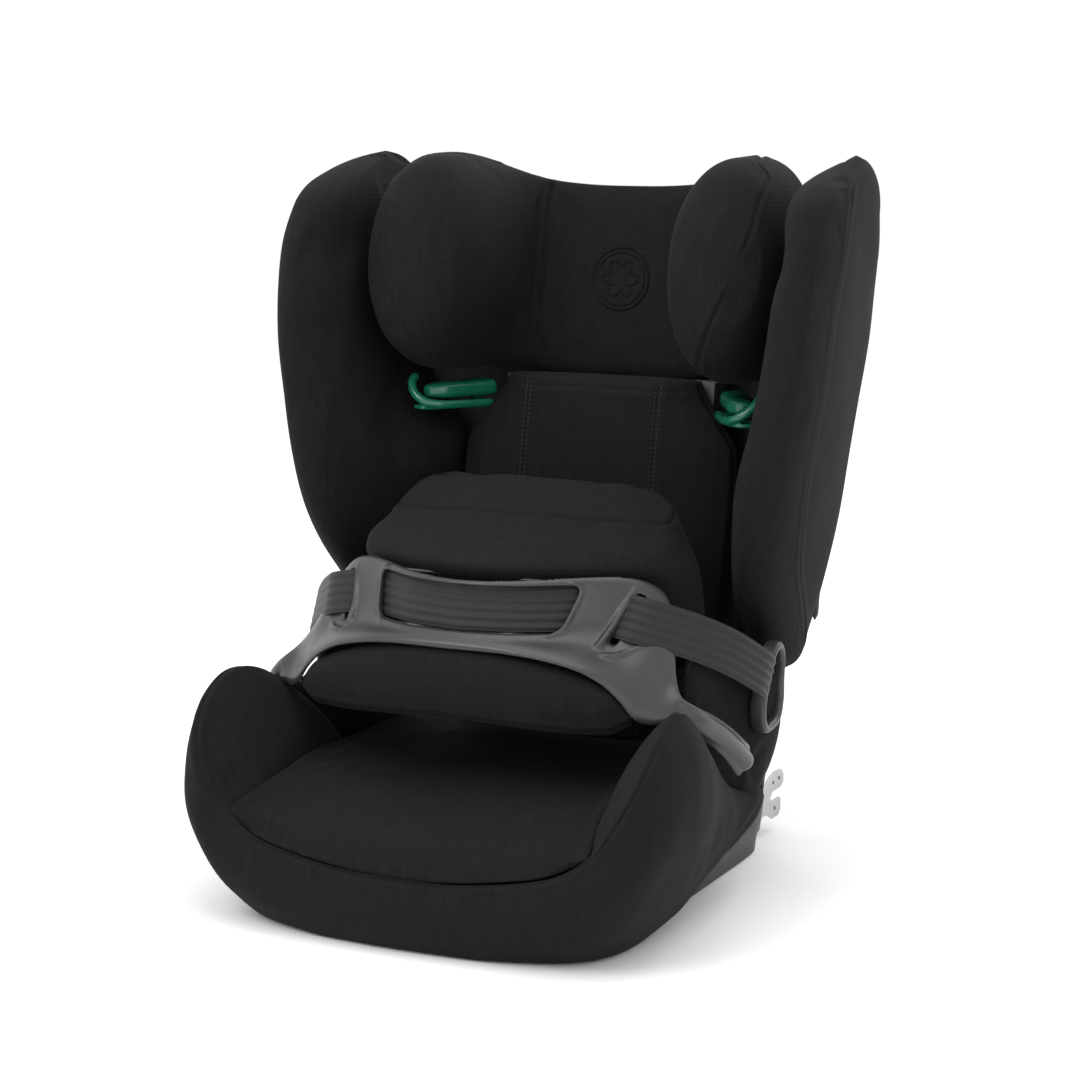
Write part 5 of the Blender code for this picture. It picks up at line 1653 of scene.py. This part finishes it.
def makeBaseTray():
    wall, high = baseTray["wall"], baseTray["high"]
    # height and growth of the outline, from the rim's inside down, under and up the outside
    levels = [(high - wall, -wall), (0.045, -wall), (0.0015, -wall), (0.0, -wall * 0.5), (0.0015, 0.0),
              (0.012, 0.0), (0.018, 0.0004), (0.020, 0.0016), (0.030, 0.0018), (0.050, 0.0016),
              (0.052, 0.0003), (0.070, 0.0), (high - 0.0015, -0.0003), (high, -0.0020)]
    grid = np.array([trayOutline(z, grow) for z, grow in levels])
    tray = gridMesh("base_tray", grid)
    cutters = []
    for x in (-latch["x"], latch["x"]):
        slot = roundedOutline(x - 0.0130, -0.006, x + 0.0130, 0.053, 0.003)
        cutters.append(cutterBox("slot", slot, 0.150, 0.200))
    cutters.append(cutterBox("recess", roundedOutline(-0.050, -0.02, 0.050, 0.024, 0.008), -0.30, -0.18))
    cutAway(tray, cutters)
    smoothShade(tray, 32)
    finishPiece(tray, blackPlastic, "base", ("base_shell",))
    print("base tray")


cadLooks = {
    "steel": brightSteel, "zinc_steel": zincSteel, "black_plastic": blackPlastic, "frame_plastic": greySatin,
    "green_plastic": greenPlastic, "red_plastic": redPlastic, "webbing": webbingLook, "foam": foam,
    "seat_fabric": cover,
}


def dressFrame():
    # every CAD piece that stays in view takes the finish of its slot
    slots = {s["node"]: s["material_slot"] for s in frame["record"]["subparts"]}
    for name, obj in frame["nodes"].items():
        if obj.hide_render:
            continue
        for entry in obj.material_slots:
            entry.material = cadLooks[slots[name]]


# Camera, light and floor

studio = {
    "azimuth": 25.80, "elevation": 9.69, "distance": 2.2018, "target": (0.0549, -0.0910, 0.3196),
    "lens": 87.505, "sensor": 36.0,
    "floor": (0.97, 0.97, 0.97),
}


def makeStudio():
    scene = bpy.context.scene
    camera = bpy.data.cameras.new("camera")
    camera.lens = studio["lens"]
    camera.sensor_width = studio["sensor"]
    camera.clip_start = 0.05
    camera.clip_end = 50
    view = newObject("camera", camera)
    a, e = math.radians(studio["azimuth"]), math.radians(studio["elevation"])
    back = Vector((math.sin(a) * math.cos(e), -math.cos(a) * math.cos(e), math.sin(e)))
    view.location = Vector(studio["target"]) + back * studio["distance"]
    view.rotation_mode = "QUATERNION"
    view.rotation_quaternion = (-back).to_track_quat("-Z", "Y")
    scene.camera = view

    bm = bmesh.new()
    bmesh.ops.create_grid(bm, x_segments=2, y_segments=2, size=60)
    floor = meshObject("floor", bm)
    mat, _, shader = newMaterial("pale_floor", studio["floor"], 0.75)
    shader.inputs["Specular IOR Level"].default_value = 0.2
    dress(floor, mat)

    world = bpy.data.worlds.new("studio")
    world.use_nodes = True
    world.node_tree.nodes["Background"].inputs["Color"].default_value = (1, 1, 1, 1)
    world.node_tree.nodes["Background"].inputs["Strength"].default_value = 1.05
    scene.world = world
    for name, spot, aim, size, power in (
            ("key", (-0.9, -1.7, 2.1), (0, 0, 0.3), 1.4, 22),
            ("fill", (1.9, -1.3, 1.2), (0, 0, 0.3), 1.5, 5),
            ("rim", (0.7, 1.9, 2.2), (0, 0, 0.35), 1.3, 14),
            ("top", (0.0, -0.2, 2.6), (0, 0, 0), 2.0, 16)):
        light = bpy.data.lights.new(name, "AREA")
        light.shape = "DISK"
        light.size = size
        light.energy = power
        lamp = newObject(name, light)
        lamp.location = spot
        lamp.rotation_mode = "QUATERNION"
        lamp.rotation_quaternion = (Vector(aim) - Vector(spot)).to_track_quat("-Z", "Y")
    scene.view_settings.view_transform = "Standard"


makeStudio()
print("studio")
crestLine = makeSeatCover()
makeSeatPan(crestLine)
makeHips()
makeBackPanel()
makeBackWings()
makeHeadCover()
makeShieldTop()
makeShieldLow()
makeShieldFrame()
makeBelts()
makeStrapGuides()
makeBeltHooks()
makeLatches()
makeRearShell()
makeBaseTray()
dressFrame()
